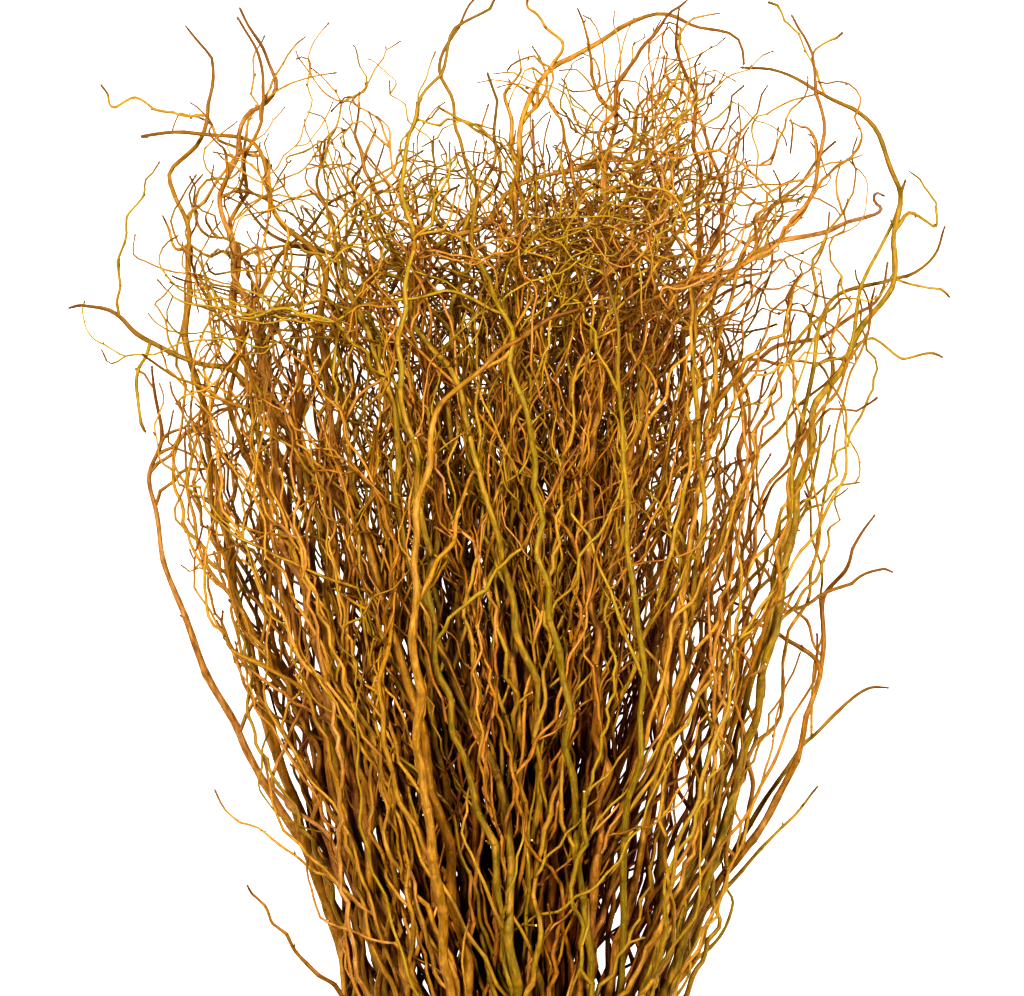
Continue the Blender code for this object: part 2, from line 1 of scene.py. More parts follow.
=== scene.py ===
"""The looks of a tied bunch of curly willow stems that lies on a pale floor, seen from straight above."""
import json
import math

import bpy
import numpy as np
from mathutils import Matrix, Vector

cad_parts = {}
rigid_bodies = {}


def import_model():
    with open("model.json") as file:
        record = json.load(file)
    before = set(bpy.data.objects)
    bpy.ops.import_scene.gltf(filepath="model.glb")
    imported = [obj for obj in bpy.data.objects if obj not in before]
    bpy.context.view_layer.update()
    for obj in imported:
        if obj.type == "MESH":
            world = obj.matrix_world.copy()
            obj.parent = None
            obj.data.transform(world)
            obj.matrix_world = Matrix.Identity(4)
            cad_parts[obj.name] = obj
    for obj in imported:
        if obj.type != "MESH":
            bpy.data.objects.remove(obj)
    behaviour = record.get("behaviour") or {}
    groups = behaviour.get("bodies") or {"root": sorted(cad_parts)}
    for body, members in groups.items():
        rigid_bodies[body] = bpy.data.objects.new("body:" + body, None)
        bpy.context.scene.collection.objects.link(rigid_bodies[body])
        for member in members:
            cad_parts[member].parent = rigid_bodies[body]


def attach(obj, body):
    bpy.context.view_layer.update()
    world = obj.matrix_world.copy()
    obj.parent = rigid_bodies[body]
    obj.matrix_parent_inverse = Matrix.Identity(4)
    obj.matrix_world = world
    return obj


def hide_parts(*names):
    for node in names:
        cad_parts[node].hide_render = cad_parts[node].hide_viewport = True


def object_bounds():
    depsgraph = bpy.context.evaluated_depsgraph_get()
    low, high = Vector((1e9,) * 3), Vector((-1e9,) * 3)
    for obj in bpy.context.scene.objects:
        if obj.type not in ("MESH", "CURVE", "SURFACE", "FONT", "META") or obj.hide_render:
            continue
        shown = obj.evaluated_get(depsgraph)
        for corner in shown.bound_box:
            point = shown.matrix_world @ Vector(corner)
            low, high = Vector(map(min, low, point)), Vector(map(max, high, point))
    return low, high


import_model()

CAD_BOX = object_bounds()

bl_info = {
    "name": "Willow stems",
    "version": (1, 0, 0),
    "blender": (4, 5, 0),
    "location": "3D View > Sidebar > Willow",
    "description": "Dresses a tied bunch of curly willow stems with bark, twigs, buds and twine",
    "category": "Object",
}

# The same driving values as the part's source, in metres: the twigs here grow on the same limbs
STEM_RISE = 1.505
FAN_MIDDLE = (-0.003, 0.7525)
TIE_RISE = 0.13
TIE_STRAIGHT = 0.012
TWINE = 0.004
TIE_TURNS = 4
TIE_FLAT = 0.0005
SEAT_GAP = 0.0003
WAIST_GAP = 0.0001
FAN_OUTLINE = (
    (0.00, 0.050, 0.045),
    (0.11, 0.040, 0.040),
    (0.15, 0.040, 0.040),
    (0.30, 0.092, 0.068),
    (0.51, 0.165, 0.105),
    (0.70, 0.232, 0.130),
    (0.90, 0.285, 0.150),
    (1.05, 0.322, 0.162),
    (1.20, 0.335, 0.170),
    (1.40, 0.310, 0.170),
    (1.55, 0.280, 0.160),
)
TIP_RADIUS = 0.0011
LEADER_TAPER = 0.72
SWIRL = math.radians(42)
SEED = 11
CROWD_STEMS = 30
CUT_RADIUS = (0.0042, 0.0066)
CROWD_TIPS = (1.22, 1.46)
SHOOTS = (
    ((0.24, 0.46), (0.62, 0.88), (0.22, 0.42)),
    ((0.50, 0.78), (0.40, 0.58), (0.35, 0.65)),
    ((0.78, 1.08), (0.26, 0.40), (0.45, 0.80)),
)
LOOSE_FROM = 0.85
LOOSE_OVER = 0.40
STEADY = 0.82
LEADER_STEP = 0.070
SHOOT_STEP = 0.066
CLEARANCE = 0.0009
LACKING = 0.0004
PUSHES = 200
SETTLE_RISE = 0.88
REACHING_STEMS = {
    "right_arch": (0.150, (
        (0.188, 0.605), (0.233, 0.745), (0.263, 0.865), (0.283, 0.985), (0.303, 1.085), (0.338, 1.155),
        (0.372, 1.210), (0.387, 1.273), (0.381, 1.335), (0.356, 1.380), (0.313, 1.410), (0.283, 1.425),
        (0.233, 1.439),
    ), (
        ((0.313, 1.410), (0.300, 1.440), (0.310, 1.456), (0.326, 1.467)),
        ((0.300, 1.440), (0.284, 1.462), (0.272, 1.485), (0.256, 1.500)),
        ((0.338, 1.155), (0.348, 1.215), (0.372, 1.262), (0.392, 1.320)),
    )),
    "centre_arch": (0.190, (
        (0.040, 0.600), (0.020, 0.800), (0.004, 0.985), (0.003, 1.170), (0.006, 1.330), (0.016, 1.385),
        (0.036, 1.427), (0.078, 1.455), (0.143, 1.484), (0.183, 1.474), (0.219, 1.460), (0.229, 1.441),
    ), (
        ((0.036, 1.427), (0.048, 1.450), (0.030, 1.476), (0.014, 1.488), (0.016, 1.502)),
    )),
    "top_right": (0.230, (
        (0.080, 0.600), (0.085, 0.800), (0.075, 1.000), (0.090, 1.180), (0.088, 1.300), (0.100, 1.400),
        (0.118, 1.440), (0.143, 1.468), (0.165, 1.500),
    ), ()),
    "left_arm": (0.140, (
        (-0.150, 0.605), (-0.177, 0.745), (-0.187, 0.865), (-0.194, 0.965), (-0.212, 1.055), (-0.250, 1.110),
        (-0.307, 1.138), (-0.362, 1.163), (-0.394, 1.189), (-0.427, 1.207), (-0.447, 1.203),
    ), (
        ((-0.380, 1.178), (-0.395, 1.212), (-0.390, 1.243)),
        ((-0.340, 1.152), (-0.372, 1.120), (-0.366, 1.075)),
    )),
    "left_edge": (0.090, (
        (-0.182, 0.575), (-0.237, 0.745), (-0.272, 0.865), (-0.297, 0.985), (-0.312, 1.085), (-0.334, 1.185),
        (-0.328, 1.265), (-0.344, 1.315), (-0.350, 1.340), (-0.320, 1.370), (-0.309, 1.395), (-0.309, 1.435),
        (-0.327, 1.483),
    ), (
        ((-0.309, 1.395), (-0.347, 1.397), (-0.377, 1.404), (-0.404, 1.399), (-0.411, 1.420)),
        ((-0.330, 1.225), (-0.342, 1.262), (-0.354, 1.290)),
    )),
    "left_low": (0.045, (
        (-0.160, 0.509), (-0.202, 0.625), (-0.262, 0.730), (-0.297, 0.793), (-0.322, 0.850), (-0.347, 0.910),
        (-0.362, 0.965), (-0.374, 1.025), (-0.362, 1.075), (-0.369, 1.140),
    ), (
        ((-0.125, 0.440), (-0.178, 0.500), (-0.220, 0.540), (-0.250, 0.583), (-0.270, 0.608)),
        ((-0.202, 0.625), (-0.222, 0.700), (-0.262, 0.790), (-0.300, 0.880)),
    )),
    "right_reach": (0.050, (
        (0.165, 0.500), (0.200, 0.580), (0.233, 0.655), (0.273, 0.715), (0.308, 0.760), (0.338, 0.793),
        (0.363, 0.810), (0.385, 0.812),
    ), (
        ((0.200, 0.580), (0.238, 0.625), (0.288, 0.680), (0.308, 0.710)),
    )),
    "right_mid": (0.105, (
        (0.150, 0.545), (0.188, 0.675), (0.213, 0.805), (0.238, 0.865), (0.273, 0.895), (0.313, 0.907),
        (0.348, 0.929), (0.381, 0.928),
    ), ()),
    "right_fork": (0.075, (
        (0.175, 0.545), (0.233, 0.645), (0.278, 0.715), (0.303, 0.785), (0.316, 0.845), (0.318, 0.905),
        (0.345, 0.940), (0.365, 0.987),
    ), ()),
    "far_right": (0.120, (
        (0.170, 0.600), (0.220, 0.750), (0.262, 0.900), (0.287, 1.050), (0.300, 1.140), (0.318, 1.205),
        (0.353, 1.220), (0.383, 1.233), (0.408, 1.240), (0.426, 1.255), (0.438, 1.278),
    ), (
        ((0.383, 1.233), (0.413, 1.217), (0.440, 1.211)),
        ((0.300, 1.140), (0.350, 1.160), (0.395, 1.152), (0.428, 1.148)),
    )),
    "front_arch": (0.315, (
        (-0.060, 0.510), (-0.075, 0.655), (-0.090, 0.805), (-0.094, 0.905), (-0.087, 0.985), (-0.075, 1.065),
        (-0.054, 1.110), (-0.022, 1.140), (0.018, 1.163), (0.063, 1.187),
    ), ()),
    "left_top": (0.150, (
        (-0.130, 0.600), (-0.180, 0.800), (-0.225, 1.000), (-0.250, 1.150), (-0.280, 1.250), (-0.283, 1.320),
        (-0.270, 1.370), (-0.245, 1.400), (-0.233, 1.425), (-0.247, 1.455), (-0.266, 1.500),
    ), ()),
    "middle_top": (0.200, (
        (-0.045, 0.600), (-0.080, 0.800), (-0.070, 1.000), (-0.055, 1.200), (-0.040, 1.330), (-0.057, 1.400),
        (-0.066, 1.432), (-0.060, 1.462), (-0.034, 1.500),
    ), ()),
    "right_shoulder": (0.210, (
        (0.120, 0.600), (0.150, 0.800), (0.185, 1.000), (0.205, 1.150), (0.233, 1.255), (0.268, 1.305),
        (0.293, 1.333), (0.316, 1.355),
    ), ()),
}

# How crooked the limbs are: the share of it that is left low down, where the stems run straight, the length of the
# corkscrew's waves, the spacing of the nodes, the turn at each, and the cosine of the sharpest turn
STRAIGHT_SHARE = 0.42
WAVE_PERIOD = (0.055, 0.105)
NODE_SPACING = (0.014, 0.030)
NODE_TURN = 0.30
SHARPEST = 0.60
# Where the crowd of twigs ends at the top, as (x, rise), and how crowded it is from side to side, as (share of the
# half width, crowding), low down and at the top
TOP_LINE = (
    (-0.36, 1.30), (-0.31, 1.40), (-0.22, 1.45), (-0.12, 1.44), (-0.055, 1.37), (0.0, 1.41), (0.05, 1.46),
    (0.20, 1.46), (0.28, 1.43), (0.34, 1.35),
)
LOW_CROWDING = (
    (-1.2, 0.7), (-0.90, 0.5), (-0.60, 0.35), (-0.35, 0.9), (0.40, 0.9), (0.55, 0.2), (1.2, 0.12),
)
TOP_CROWDING = (
    (-1.2, 0.9), (-0.90, 0.8), (-0.75, 0.85), (-0.25, 0.85), (-0.10, 0.55), (0.0, 0.8), (0.15, 1.5),
    (0.42, 1.5), (0.55, 0.6), (0.72, 0.35), (1.2, 0.25),
)
# Changes with the rise, each as (where it starts, over how much it goes on)
CROWDING_RISE = (0.95, 0.25)
CURLY_RISE = (1.04, 0.24)
CROOKED_RISE = (0.62, 0.42)
STOUT_RISE = (0.18, 0.20)
UNTIED_RISE = (0.16, 0.16)
# Where the painted shade far down in the closed bunch fades out
SHADE_FADE_RISE = (0.70, 0.30)

# How the finer limbs grow, in the order that they are made: each kind's parents by their place in the list of
# growths, how dense its roots are at each rise, and its size and habit
GROWTH_RULES = (
    {"name": "forks", "on": (0,), "density": ((0.13, 0), (0.16, 1), (0.40, 1), (0.50, 0)),
     "length": (0.60, 1.10), "lean": (0.08, 0.30), "rings": 84, "curl": 6.0, "pull": 3.8, "share": 0.70,
     "base": (0.0020, 0.0036), "tip": 0.0010, "sides": 6, "wave": 0.5, "kink": 0.0024, "buds": 0.10},
    {"name": "side_shoots", "on": (0, 1, 3), "density": ((0.40, 0), (0.55, 1), (1.00, 1), (1.15, 0)),
     "length": (0.30, 0.60), "lean": (0.18, 0.50), "rings": 50, "curl": 8.0, "pull": 3.2, "share": 0.75,
     "base": (0.0018, 0.0031), "tip": 0.0010, "sides": 5, "wave": 0.45, "kink": 0.0024, "buds": 0.12},
    {"name": "twigs", "on": (0, 1, 2, 3, 4),
     "density": ((0.50, 0.03), (0.80, 0.2), (1.00, 0.6), (1.15, 0.8), (1.30, 1.1), (1.40, 0.8), (1.46, 0.2)),
     "length": (0.12, 0.32), "lean": (0.30, 0.80), "rings": 32, "curl": 8.0, "pull": 2.2, "share": 0.90,
     "base": (0.0016, 0.0027), "tip": 0.0009, "sides": 4, "wave": 0.3, "kink": 0.0024, "buds": 0.3},
    {"name": "sprigs", "on": (1, 3, 4, 5),
     "density": ((0.40, 0.02), (0.80, 0.12), (1.00, 0.6), (1.15, 0.8), (1.30, 1.1), (1.40, 0.8), (1.46, 0.2)),
     "length": (0.03, 0.13), "lean": (0.4, 0.95), "rings": 14, "curl": 8.0, "pull": 1.6, "share": 0.90,
     "base": (0.0012, 0.0019), "tip": 0.0008, "sides": 4, "wave": 0.2, "kink": 0.0020, "buds": 0.3},
    {"name": "crossings", "on": (0, 1, 3, 4), "density": ((0.25, 0.4), (0.45, 1), (0.95, 1), (1.10, 0)),
     "length": (0.06, 0.24), "lean": (0.40, 0.90), "rings": 22, "curl": 4.0, "pull": 0.7, "share": 0.70,
     "base": (0.0015, 0.0026), "tip": 0.0012, "sides": 5, "wave": 0.2, "kink": 0.0020, "buds": 0.2},
    {"name": "stubs", "on": (0, 1, 2, 3, 4), "density": ((0.20, 1), (1.10, 1), (1.40, 0)),
     "length": (0.008, 0.040), "lean": (0.45, 0.95), "rings": 6, "curl": 4.0, "pull": 1.0, "share": 0.72,
     "base": (0.0014, 0.0026), "tip": 0.0013, "sides": 5, "wave": 0.0, "kink": 0.0006, "buds": None},
)
# The frame's own limbs, thickest first: rings, sides, the offset at a node, the spacing of nodes, chance of a bud
FRAME_RULES = (
    (176, 9, 0.0028, (0.030, 0.062), 0.10),
    (90, 7, 0.0026, (0.022, 0.046), 0.12),
    (48, 6, 0.0024, (0.018, 0.036), 0.20),
)
FRAME_WAVE = 0.45
LONG_SHOOT = 8
# How much stouter than in the frame its limbs are drawn, as a share
STOUT = 0.14
STOUTER = {"stem_front_arch": 0.60, "stem_left_arm": 0.40, "stem_right_arch": 0.25, "stem_left_top": 0.30}

# A bud's radii along it, as (share of its length, share of its half width), and its half width to its length
BUD_PROFILE = ((0.0, 0.3), (0.35, 1.0), (0.70, 0.7), (1.0, 0.05))
BUD_SLIMNESS = 0.19
TWINE_LAY = 0.011
TWINE_SIDES = 18
TWINE_RINGS = 180
LOOKS_SEED = 23

# Bark colours by slot: young wood, old wood, and the second tint that some limbs take on
BARK_COLOURS = {
    "olive_bark": ("#B8982C", "#947C22", "#C0923A"),
    "gold_bark": ("#C29428", "#A87C22", "#D09C4A"),
    "brown_bark": ("#BC862A", "#A27426", "#D09A58"),
}
# Painted shade: the browner tint that multiplies the bark far down in the closed bunch
SHADED_TINT = "#B88252"
SPECK_COLOUR = "#DDB06A"
NODE_COLOUR = "#56280C"
CUT_COLOUR = "#E3CFA2"
TWINE_COLOUR = "#B0925C"
# Painted shade for the grooves between the twine's strands
STRAND_SHADE_COLOUR = "#4A3620"
FLOOR_COLOUR = "#FFFFFF"

# The stage: lights as name, place, size and watts, and a camera that sees half this width at the bunch's middle
FLOOR_REACH = 12.0
FLOOR_SHARE = 0.5
FLOOR_GLOW = 0.74
WORLD_STRENGTH = 0.03
LIGHTS = (
    ("key", (-1.2, 1.3, 3.5), 0.8, 124.0),
    ("fill", (1.9, 0.4, 3.2), 1.0, 86.0),
)
LIT_PLACE = (0.0, 0.2, 0.1)
LENS = 135.0
SENSOR = 36.0
SEEN_HALF_WIDTH = 0.512
SEEN_RISE = 1.505 - 0.498
SEEN_HEIGHT = 0.15


def ease(value):
    """0 to 1 with no corner at either end."""
    value = np.clip(value, 0.0, 1.0)
    return value * value * (3 - 2 * value)


def unit(vectors):
    return vectors / np.maximum(1e-12, np.linalg.norm(vectors, axis=-1, keepdims=True))


def outline_at(rise):
    """Half width and half height of the fan at this rise, or at each of several."""
    rises, widths, heights = zip(*FAN_OUTLINE)
    return np.interp(rise, rises, widths), np.interp(rise, rises, heights)


def faded_in(paths, span):
    """0 below the span's start and 1 past its end, by the rise of each ring."""
    return ease((paths[..., 1] - span[0]) / span[1])


def leader_radius(cut_radius, share):
    """Radius at this share of the leader, from its cut end (0) to its tip (1)."""
    return TIP_RADIUS + (cut_radius - TIP_RADIUS) * (1 - share) ** LEADER_TAPER


def shares(points):
    """How far along its length each point of a limb is, from 0 to 1."""
    along = np.concatenate([[0], np.cumsum(np.linalg.norm(np.diff(points, axis=0), axis=1))])
    return along / along[-1]


def through(points, pieces):
    """A smooth curve through the points, with this many pieces from each to the next (cubic Hermite)."""
    points = np.asarray(points, float)
    before = np.vstack([2 * points[0] - points[1], points[:-1]])
    after = np.vstack([points[1:], 2 * points[-1] - points[-2]])
    slopes = (after - before) / 2
    made = [points[0]]
    for k in range(len(points) - 1):
        for t in np.arange(1, pieces[k] + 1) / pieces[k]:
            made.append(
                (2 * t**3 - 3 * t**2 + 1) * points[k] + (t**3 - 2 * t**2 + t) * slopes[k]
                + (3 * t**2 - 2 * t**3) * points[k + 1] + (t**3 - t**2) * slopes[k + 1]
            )
    return np.array(made)


def in_steps(points, step):
    """Points about one step apart on a smooth curve through the given ones."""
    points = np.asarray(points, float)
    runs = np.linalg.norm(np.diff(points, axis=0), axis=1)
    return through(points, [max(1, round(float(run) / step)) for run in runs])


class Limb:
    """A leader, shoot or twig of the frame: points on its middle line, its radii, and the point it grows from."""

    def __init__(self, points, radii, parent=None, root=0):
        self.points = np.array(points, float)
        self.radii = np.array(radii, float)
        self.parent = parent
        self.root = root


class Fan:
    """The lanes of the stems: their places in the tie, and where each place would lead at any rise."""

    def __init__(self, radii):
        self.radii = radii
        self.centres = packed(radii + WAIST_GAP / 2)
        self.waist = float(outline_at(TIE_RISE)[0])
        self.lanes = self.centres / self.waist
        lowest = float((self.centres[:, 1] - radii).min())
        self.middle_height = TWINE - TIE_FLAT + SEAT_GAP - lowest
        self.base = self.middle_height - self.waist

    def point(self, lane, rise):
        half_width, half_height = outline_at(rise)
        turn = SWIRL * ease((rise - TIE_RISE - TIE_STRAIGHT) / 1.2)
        a = lane[0] * math.cos(turn) - lane[1] * math.sin(turn)
        b = lane[0] * math.sin(turn) + lane[1] * math.cos(turn)
        settled = ease((rise - TIE_RISE - TIE_STRAIGHT) / 0.35)
        under = 1 - settled * (1 - math.sqrt(max(0.0, 1 - a * a)))
        return np.array((a * half_width, rise, self.base + half_height * (b + under)))

    def nearest(self, wanted, taken):
        """The free lane nearest to a wanted place in the waist."""
        far = [float(np.hypot(*(lane - wanted))) + 9 * (k in taken) for k, lane in enumerate(self.lanes)]
        return int(np.argmin(far))


def packed(radii):
    """Centres of circles of these radii, as near each other and the middle as they can lie."""
    count = len(radii)
    order = np.arange(count)
    angle = order * math.pi * (3 - math.sqrt(5))
    spread = 1.1 * math.sqrt(float((radii**2).sum()) / count)
    centres = (spread * np.sqrt(order + 0.5))[:, None] * np.stack([np.cos(angle), np.sin(angle)], 1)
    wanted = radii[:, None] + radii[None]
    for turn in range(2400):
        if turn < 1500:
            centres *= 1 - 0.004 * (1 - turn / 1500)
        offset = centres[:, None] - centres[None]
        distance = np.linalg.norm(offset, axis=2) + np.eye(count)
        overlap = np.maximum(0, wanted - distance) * (1 - np.eye(count))
        centres += 0.45 * (overlap[..., None] * offset / distance[..., None]).sum(1)
    return centres


def kept_in(point):
    """The point, brought back into the fan where it would stray far out of it."""
    half_width, half_height = outline_at(point[1])
    half_width *= 1.18
    return np.array((
        min(half_width, max(-half_width, point[0])),
        min(STEM_RISE - 0.010, point[1]),
        min(1.95 * half_height, max(0.003, point[2])),
    ))


def steadied(heading, loose):
    """The heading, kept from turning sideways where the stems still run side by side (loose near 0)."""
    least = STEADY * (1 - loose)
    if heading[1] < least:
        across = unit(heading * (1.0, 0.0, 1.0)) * math.sqrt(1 - least**2)
        heading = across + (0.0, least, 0.0)
    return heading


def leader_in_crowd(fan, lane, cut_radius, rise_end, draw):
    """A leader that follows its lane closely out of the tie, and more and more loosely towards its tip."""
    rises = (0.0, TIE_RISE - TIE_STRAIGHT, TIE_RISE + TIE_STRAIGHT, 0.22, 0.30)
    points = [fan.point(lane, rise) for rise in rises]
    heading = unit(points[-1] - points[-2])
    bend = draw.normal(size=3)
    while points[-1][1] < rise_end and len(points) < 24:
        here = points[-1]
        loose = ease((here[1] - LOOSE_FROM) / LOOSE_OVER)
        ahead = unit(fan.point(lane, here[1] + 0.14) - here)
        bend = 0.45 * bend + 0.9 * draw.normal(size=3)
        heading = unit(heading + (0.70 - 0.40 * loose) * (ahead - heading) + (0.08 + 0.22 * loose) * bend)
        heading = steadied(heading, loose)
        points.append(kept_in(here + LEADER_STEP * heading))
    return Limb(points, leader_radius(cut_radius, shares(points)))


def leader_on_route(fan, lane, cut_radius, height, route):
    """A leader that leaves the tie by its lane and then follows its own route, settling at a height."""
    points = [fan.point(lane, rise) for rise in (0.0, TIE_RISE - TIE_STRAIGHT, TIE_RISE + TIE_STRAIGHT)]
    level = points[-1][2]
    for x, rise in route:
        settled = ease((rise - TIE_RISE) / (SETTLE_RISE - TIE_RISE))
        z = level + settled * (height - level) + 0.010 * math.sin(19 * rise + 40 * x)
        points.append(np.array((x, rise, z)))
    points = np.vstack([points[:2], in_steps(points[2:], LEADER_STEP)])
    return Limb(points, leader_radius(cut_radius, shares(points)))


def twig_on_route(limbs, route):
    """A twig on its own route, rooted in the nearest point of the stem made so far."""
    start = np.array(route[0])
    far = [np.linalg.norm(limb.points[:, :2] - start, axis=1) for limb in limbs]
    which = int(np.argmin([f[:-1].min() for f in far]))
    parent, at = limbs[which], int(np.argmin(far[which][:-1]))
    root = parent.points[at]
    points = [root]
    for k, (x, rise) in enumerate(route[1:], 1):
        points.append(np.array((x, rise, root[2] + 0.008 * k)))
    points = in_steps(points, SHOOT_STEP)
    radii = np.linspace(min(0.0024, 0.72 * parent.radii[at]), TIP_RADIUS, len(points))
    return Limb(points, radii, parent, at)


def shoot_in_crowd(leader, at, length, lean, spin, draw):
    """A side shoot that leaves the leader at an angle, then grows outwards with the fan, curling."""
    along = unit(leader.points[at + 1] - leader.points[at])
    side = unit(np.cross(along, (0.0, 0.0, 1.0)))
    above = np.cross(side, along)
    heading = unit(along * math.cos(lean) + (side * math.cos(spin) + above * math.sin(spin)) * math.sin(lean))
    points = [leader.points[at]]
    bend = draw.normal(size=3)
    for _ in range(max(2, round(length / SHOOT_STEP))):
        here = points[-1]
        half_width, half_height = outline_at(here[1])
        outward = unit(np.array((0.3 * here[0] / half_width, 1.0, 0.12 * (here[2] / half_height - 0.5))))
        loose = ease((here[1] - LOOSE_FROM) / LOOSE_OVER)
        if abs(here[0]) > 0.95 * half_width:
            outward[0] -= math.copysign(1.2, here[0])
        if here[2] > 1.5 * half_height:
            outward[2] -= 1.2
        if here[2] < 0.02:
            outward[2] += 0.3
        if here[1] > STEM_RISE - 0.10:
            outward[1] -= 1.6
        bend = 0.5 * bend + 0.85 * draw.normal(size=3)
        heading = steadied(unit(heading + 0.25 * (outward - heading) + (0.12 + 0.16 * loose) * bend), loose)
        points.append(kept_in(here + SHOOT_STEP * heading))
    base = 0.62 * leader.radii[at]
    radii = TIP_RADIUS + (base - TIP_RADIUS) * (1 - np.linspace(0, 1, len(points))) ** 0.8
    return Limb(points, radii, leader, at)


class Tangle:
    """All the limbs as one list of points and segments, to find where stems come near each other."""

    def __init__(self, stems):
        self.limbs = [limb for limbs in stems.values() for limb in limbs]
        owners = [k for k, limbs in enumerate(stems.values()) for _ in limbs]
        counts = np.array([len(limb.points) for limb in self.limbs])
        self.starts = np.concatenate([[0], np.cumsum(counts)])
        self.points = np.concatenate([limb.points for limb in self.limbs])
        self.radii = np.concatenate([limb.radii for limb in self.limbs])
        index = np.arange(len(self.points))
        limb_of = np.repeat(np.arange(len(self.limbs)), counts)
        self.heads = index[:-1][limb_of[:-1] == limb_of[1:]]
        self.owner = np.repeat(owners, counts)[self.heads]
        self.limb_of = limb_of[self.heads]
        self.before = np.where(np.isin(index, self.starts[:-1]), index, index - 1)
        self.after = np.where(np.isin(index, self.starts[1:] - 1), index, index + 1)
        self.roots = [
            (self.starts[k], self.starts[self.limbs.index(limb.parent)] + limb.root)
            for k, limb in enumerate(self.limbs) if limb.parent is not None
        ]
        leaders = [self.starts[k] for k, limb in enumerate(self.limbs) if limb.parent is None]
        self.held = [start + j for start in leaders for j in (1, 2)]
        self.room = self.radii + CLEARANCE / 2
        for start in leaders:
            self.room[start:start + 3] = self.radii[start:start + 3] + WAIST_GAP / 2

    def near_pairs(self, margin):
        """Pairs of segments of different stems whose bounding balls come within the margin."""
        a, b = self.points[self.heads], self.points[self.heads + 1]
        middle = (a + b) / 2
        ball = np.linalg.norm(b - a, axis=1) / 2 + self.room[self.heads] + margin / 2
        first, second = [], []
        for k in range(len(middle) - 1):
            far = np.linalg.norm(middle[k + 1:] - middle[k], axis=1)
            found = np.nonzero((far < ball[k] + ball[k + 1:]) & (self.owner[k + 1:] != self.owner[k]))[0]
            first.append(np.full(len(found), k))
            second.append(found + k + 1)
        return np.concatenate(first), np.concatenate(second)

    def gaps(self, first, second):
        """For each pair of segments: the spare room, the way apart, and the shares at the nearest places."""
        i, j = self.heads[first], self.heads[second]
        p, q = self.points[i], self.points[j]
        u, v = self.points[i + 1] - p, self.points[j + 1] - q
        w = p - q
        uu, vv, uv = (u * u).sum(1), (v * v).sum(1), (u * v).sum(1)
        uw, vw = (u * w).sum(1), (v * w).sum(1)
        s = np.clip((uv * vw - vv * uw) / np.maximum(uu * vv - uv * uv, 1e-15), 0, 1)
        t = np.clip((uv * s + vw) / np.maximum(vv, 1e-15), 0, 1)
        s = np.clip((uv * t - uw) / np.maximum(uu, 1e-15), 0, 1)
        apart = w + s[:, None] * u - t[:, None] * v
        distance = np.linalg.norm(apart, axis=1)
        crossing = np.cross(u, v)
        crossing /= np.maximum(1e-12, np.linalg.norm(crossing, axis=1))[:, None]
        way = np.where((distance > 2e-4)[:, None], apart / np.maximum(1e-12, distance)[:, None], crossing)
        room = self.room
        return distance - room[i] * (1 - s) - room[i + 1] * s - room[j] * (1 - t) - room[j + 1] * t, way, s, t

    def settle(self):
        """Keeps the tied places, the roots and the floor after a push."""
        self.points[self.held] = self.tied
        for root, place in self.roots:
            self.points[root] = self.points[place]
        self.points[:, 2] = np.maximum(self.points[:, 2], 0.86 * self.radii)

    def pushed_apart(self, rounds):
        """Bends the limbs until no stem is in another's way, and writes the new points back to them."""
        start = self.points.copy()
        self.tied = start[self.held]
        self.settle()
        for turn in range(rounds):
            if turn % 8 == 0:
                first, second = self.near_pairs(0.016)
            spare, way, s, t = self.gaps(first, second)
            tight = spare < LACKING / 3
            if turn > 15 and not (spare < -LACKING).any():
                break
            i, j = self.heads[first][tight], self.heads[second][tight]
            s, t = s[tight][:, None], t[tight][:, None]
            push = 0.5 * np.minimum(0.004, LACKING / 2 - spare[tight])[:, None] * way[tight]
            moved = np.zeros_like(self.points)
            weights = np.full(len(self.points), 1e-9)
            for where, share, sign in ((i, 1 - s, 1), (i + 1, s, 1), (j, 1 - t, -1), (j + 1, t, -1)):
                np.add.at(moved, where, sign * share * push)
                np.add.at(weights, where, (share * share)[:, 0])
            moved /= np.maximum(0.6, np.sqrt(weights))[:, None]
            bent = self.points + moved - start
            bent += 0.06 * ((bent[self.before] + bent[self.after]) / 2 - bent)
            self.points = start + bent
            self.settle()
        for k, limb in enumerate(self.limbs):
            limb.points = self.points[self.starts[k]:self.starts[k + 1]].copy()

    def tight_limbs(self):
        """The limbs that still come too near another stem."""
        first, second = self.near_pairs(0.004)
        tight = self.gaps(first, second)[0] < -LACKING
        return {int(k) for k in np.concatenate([self.limb_of[first[tight]], self.limb_of[second[tight]]])}


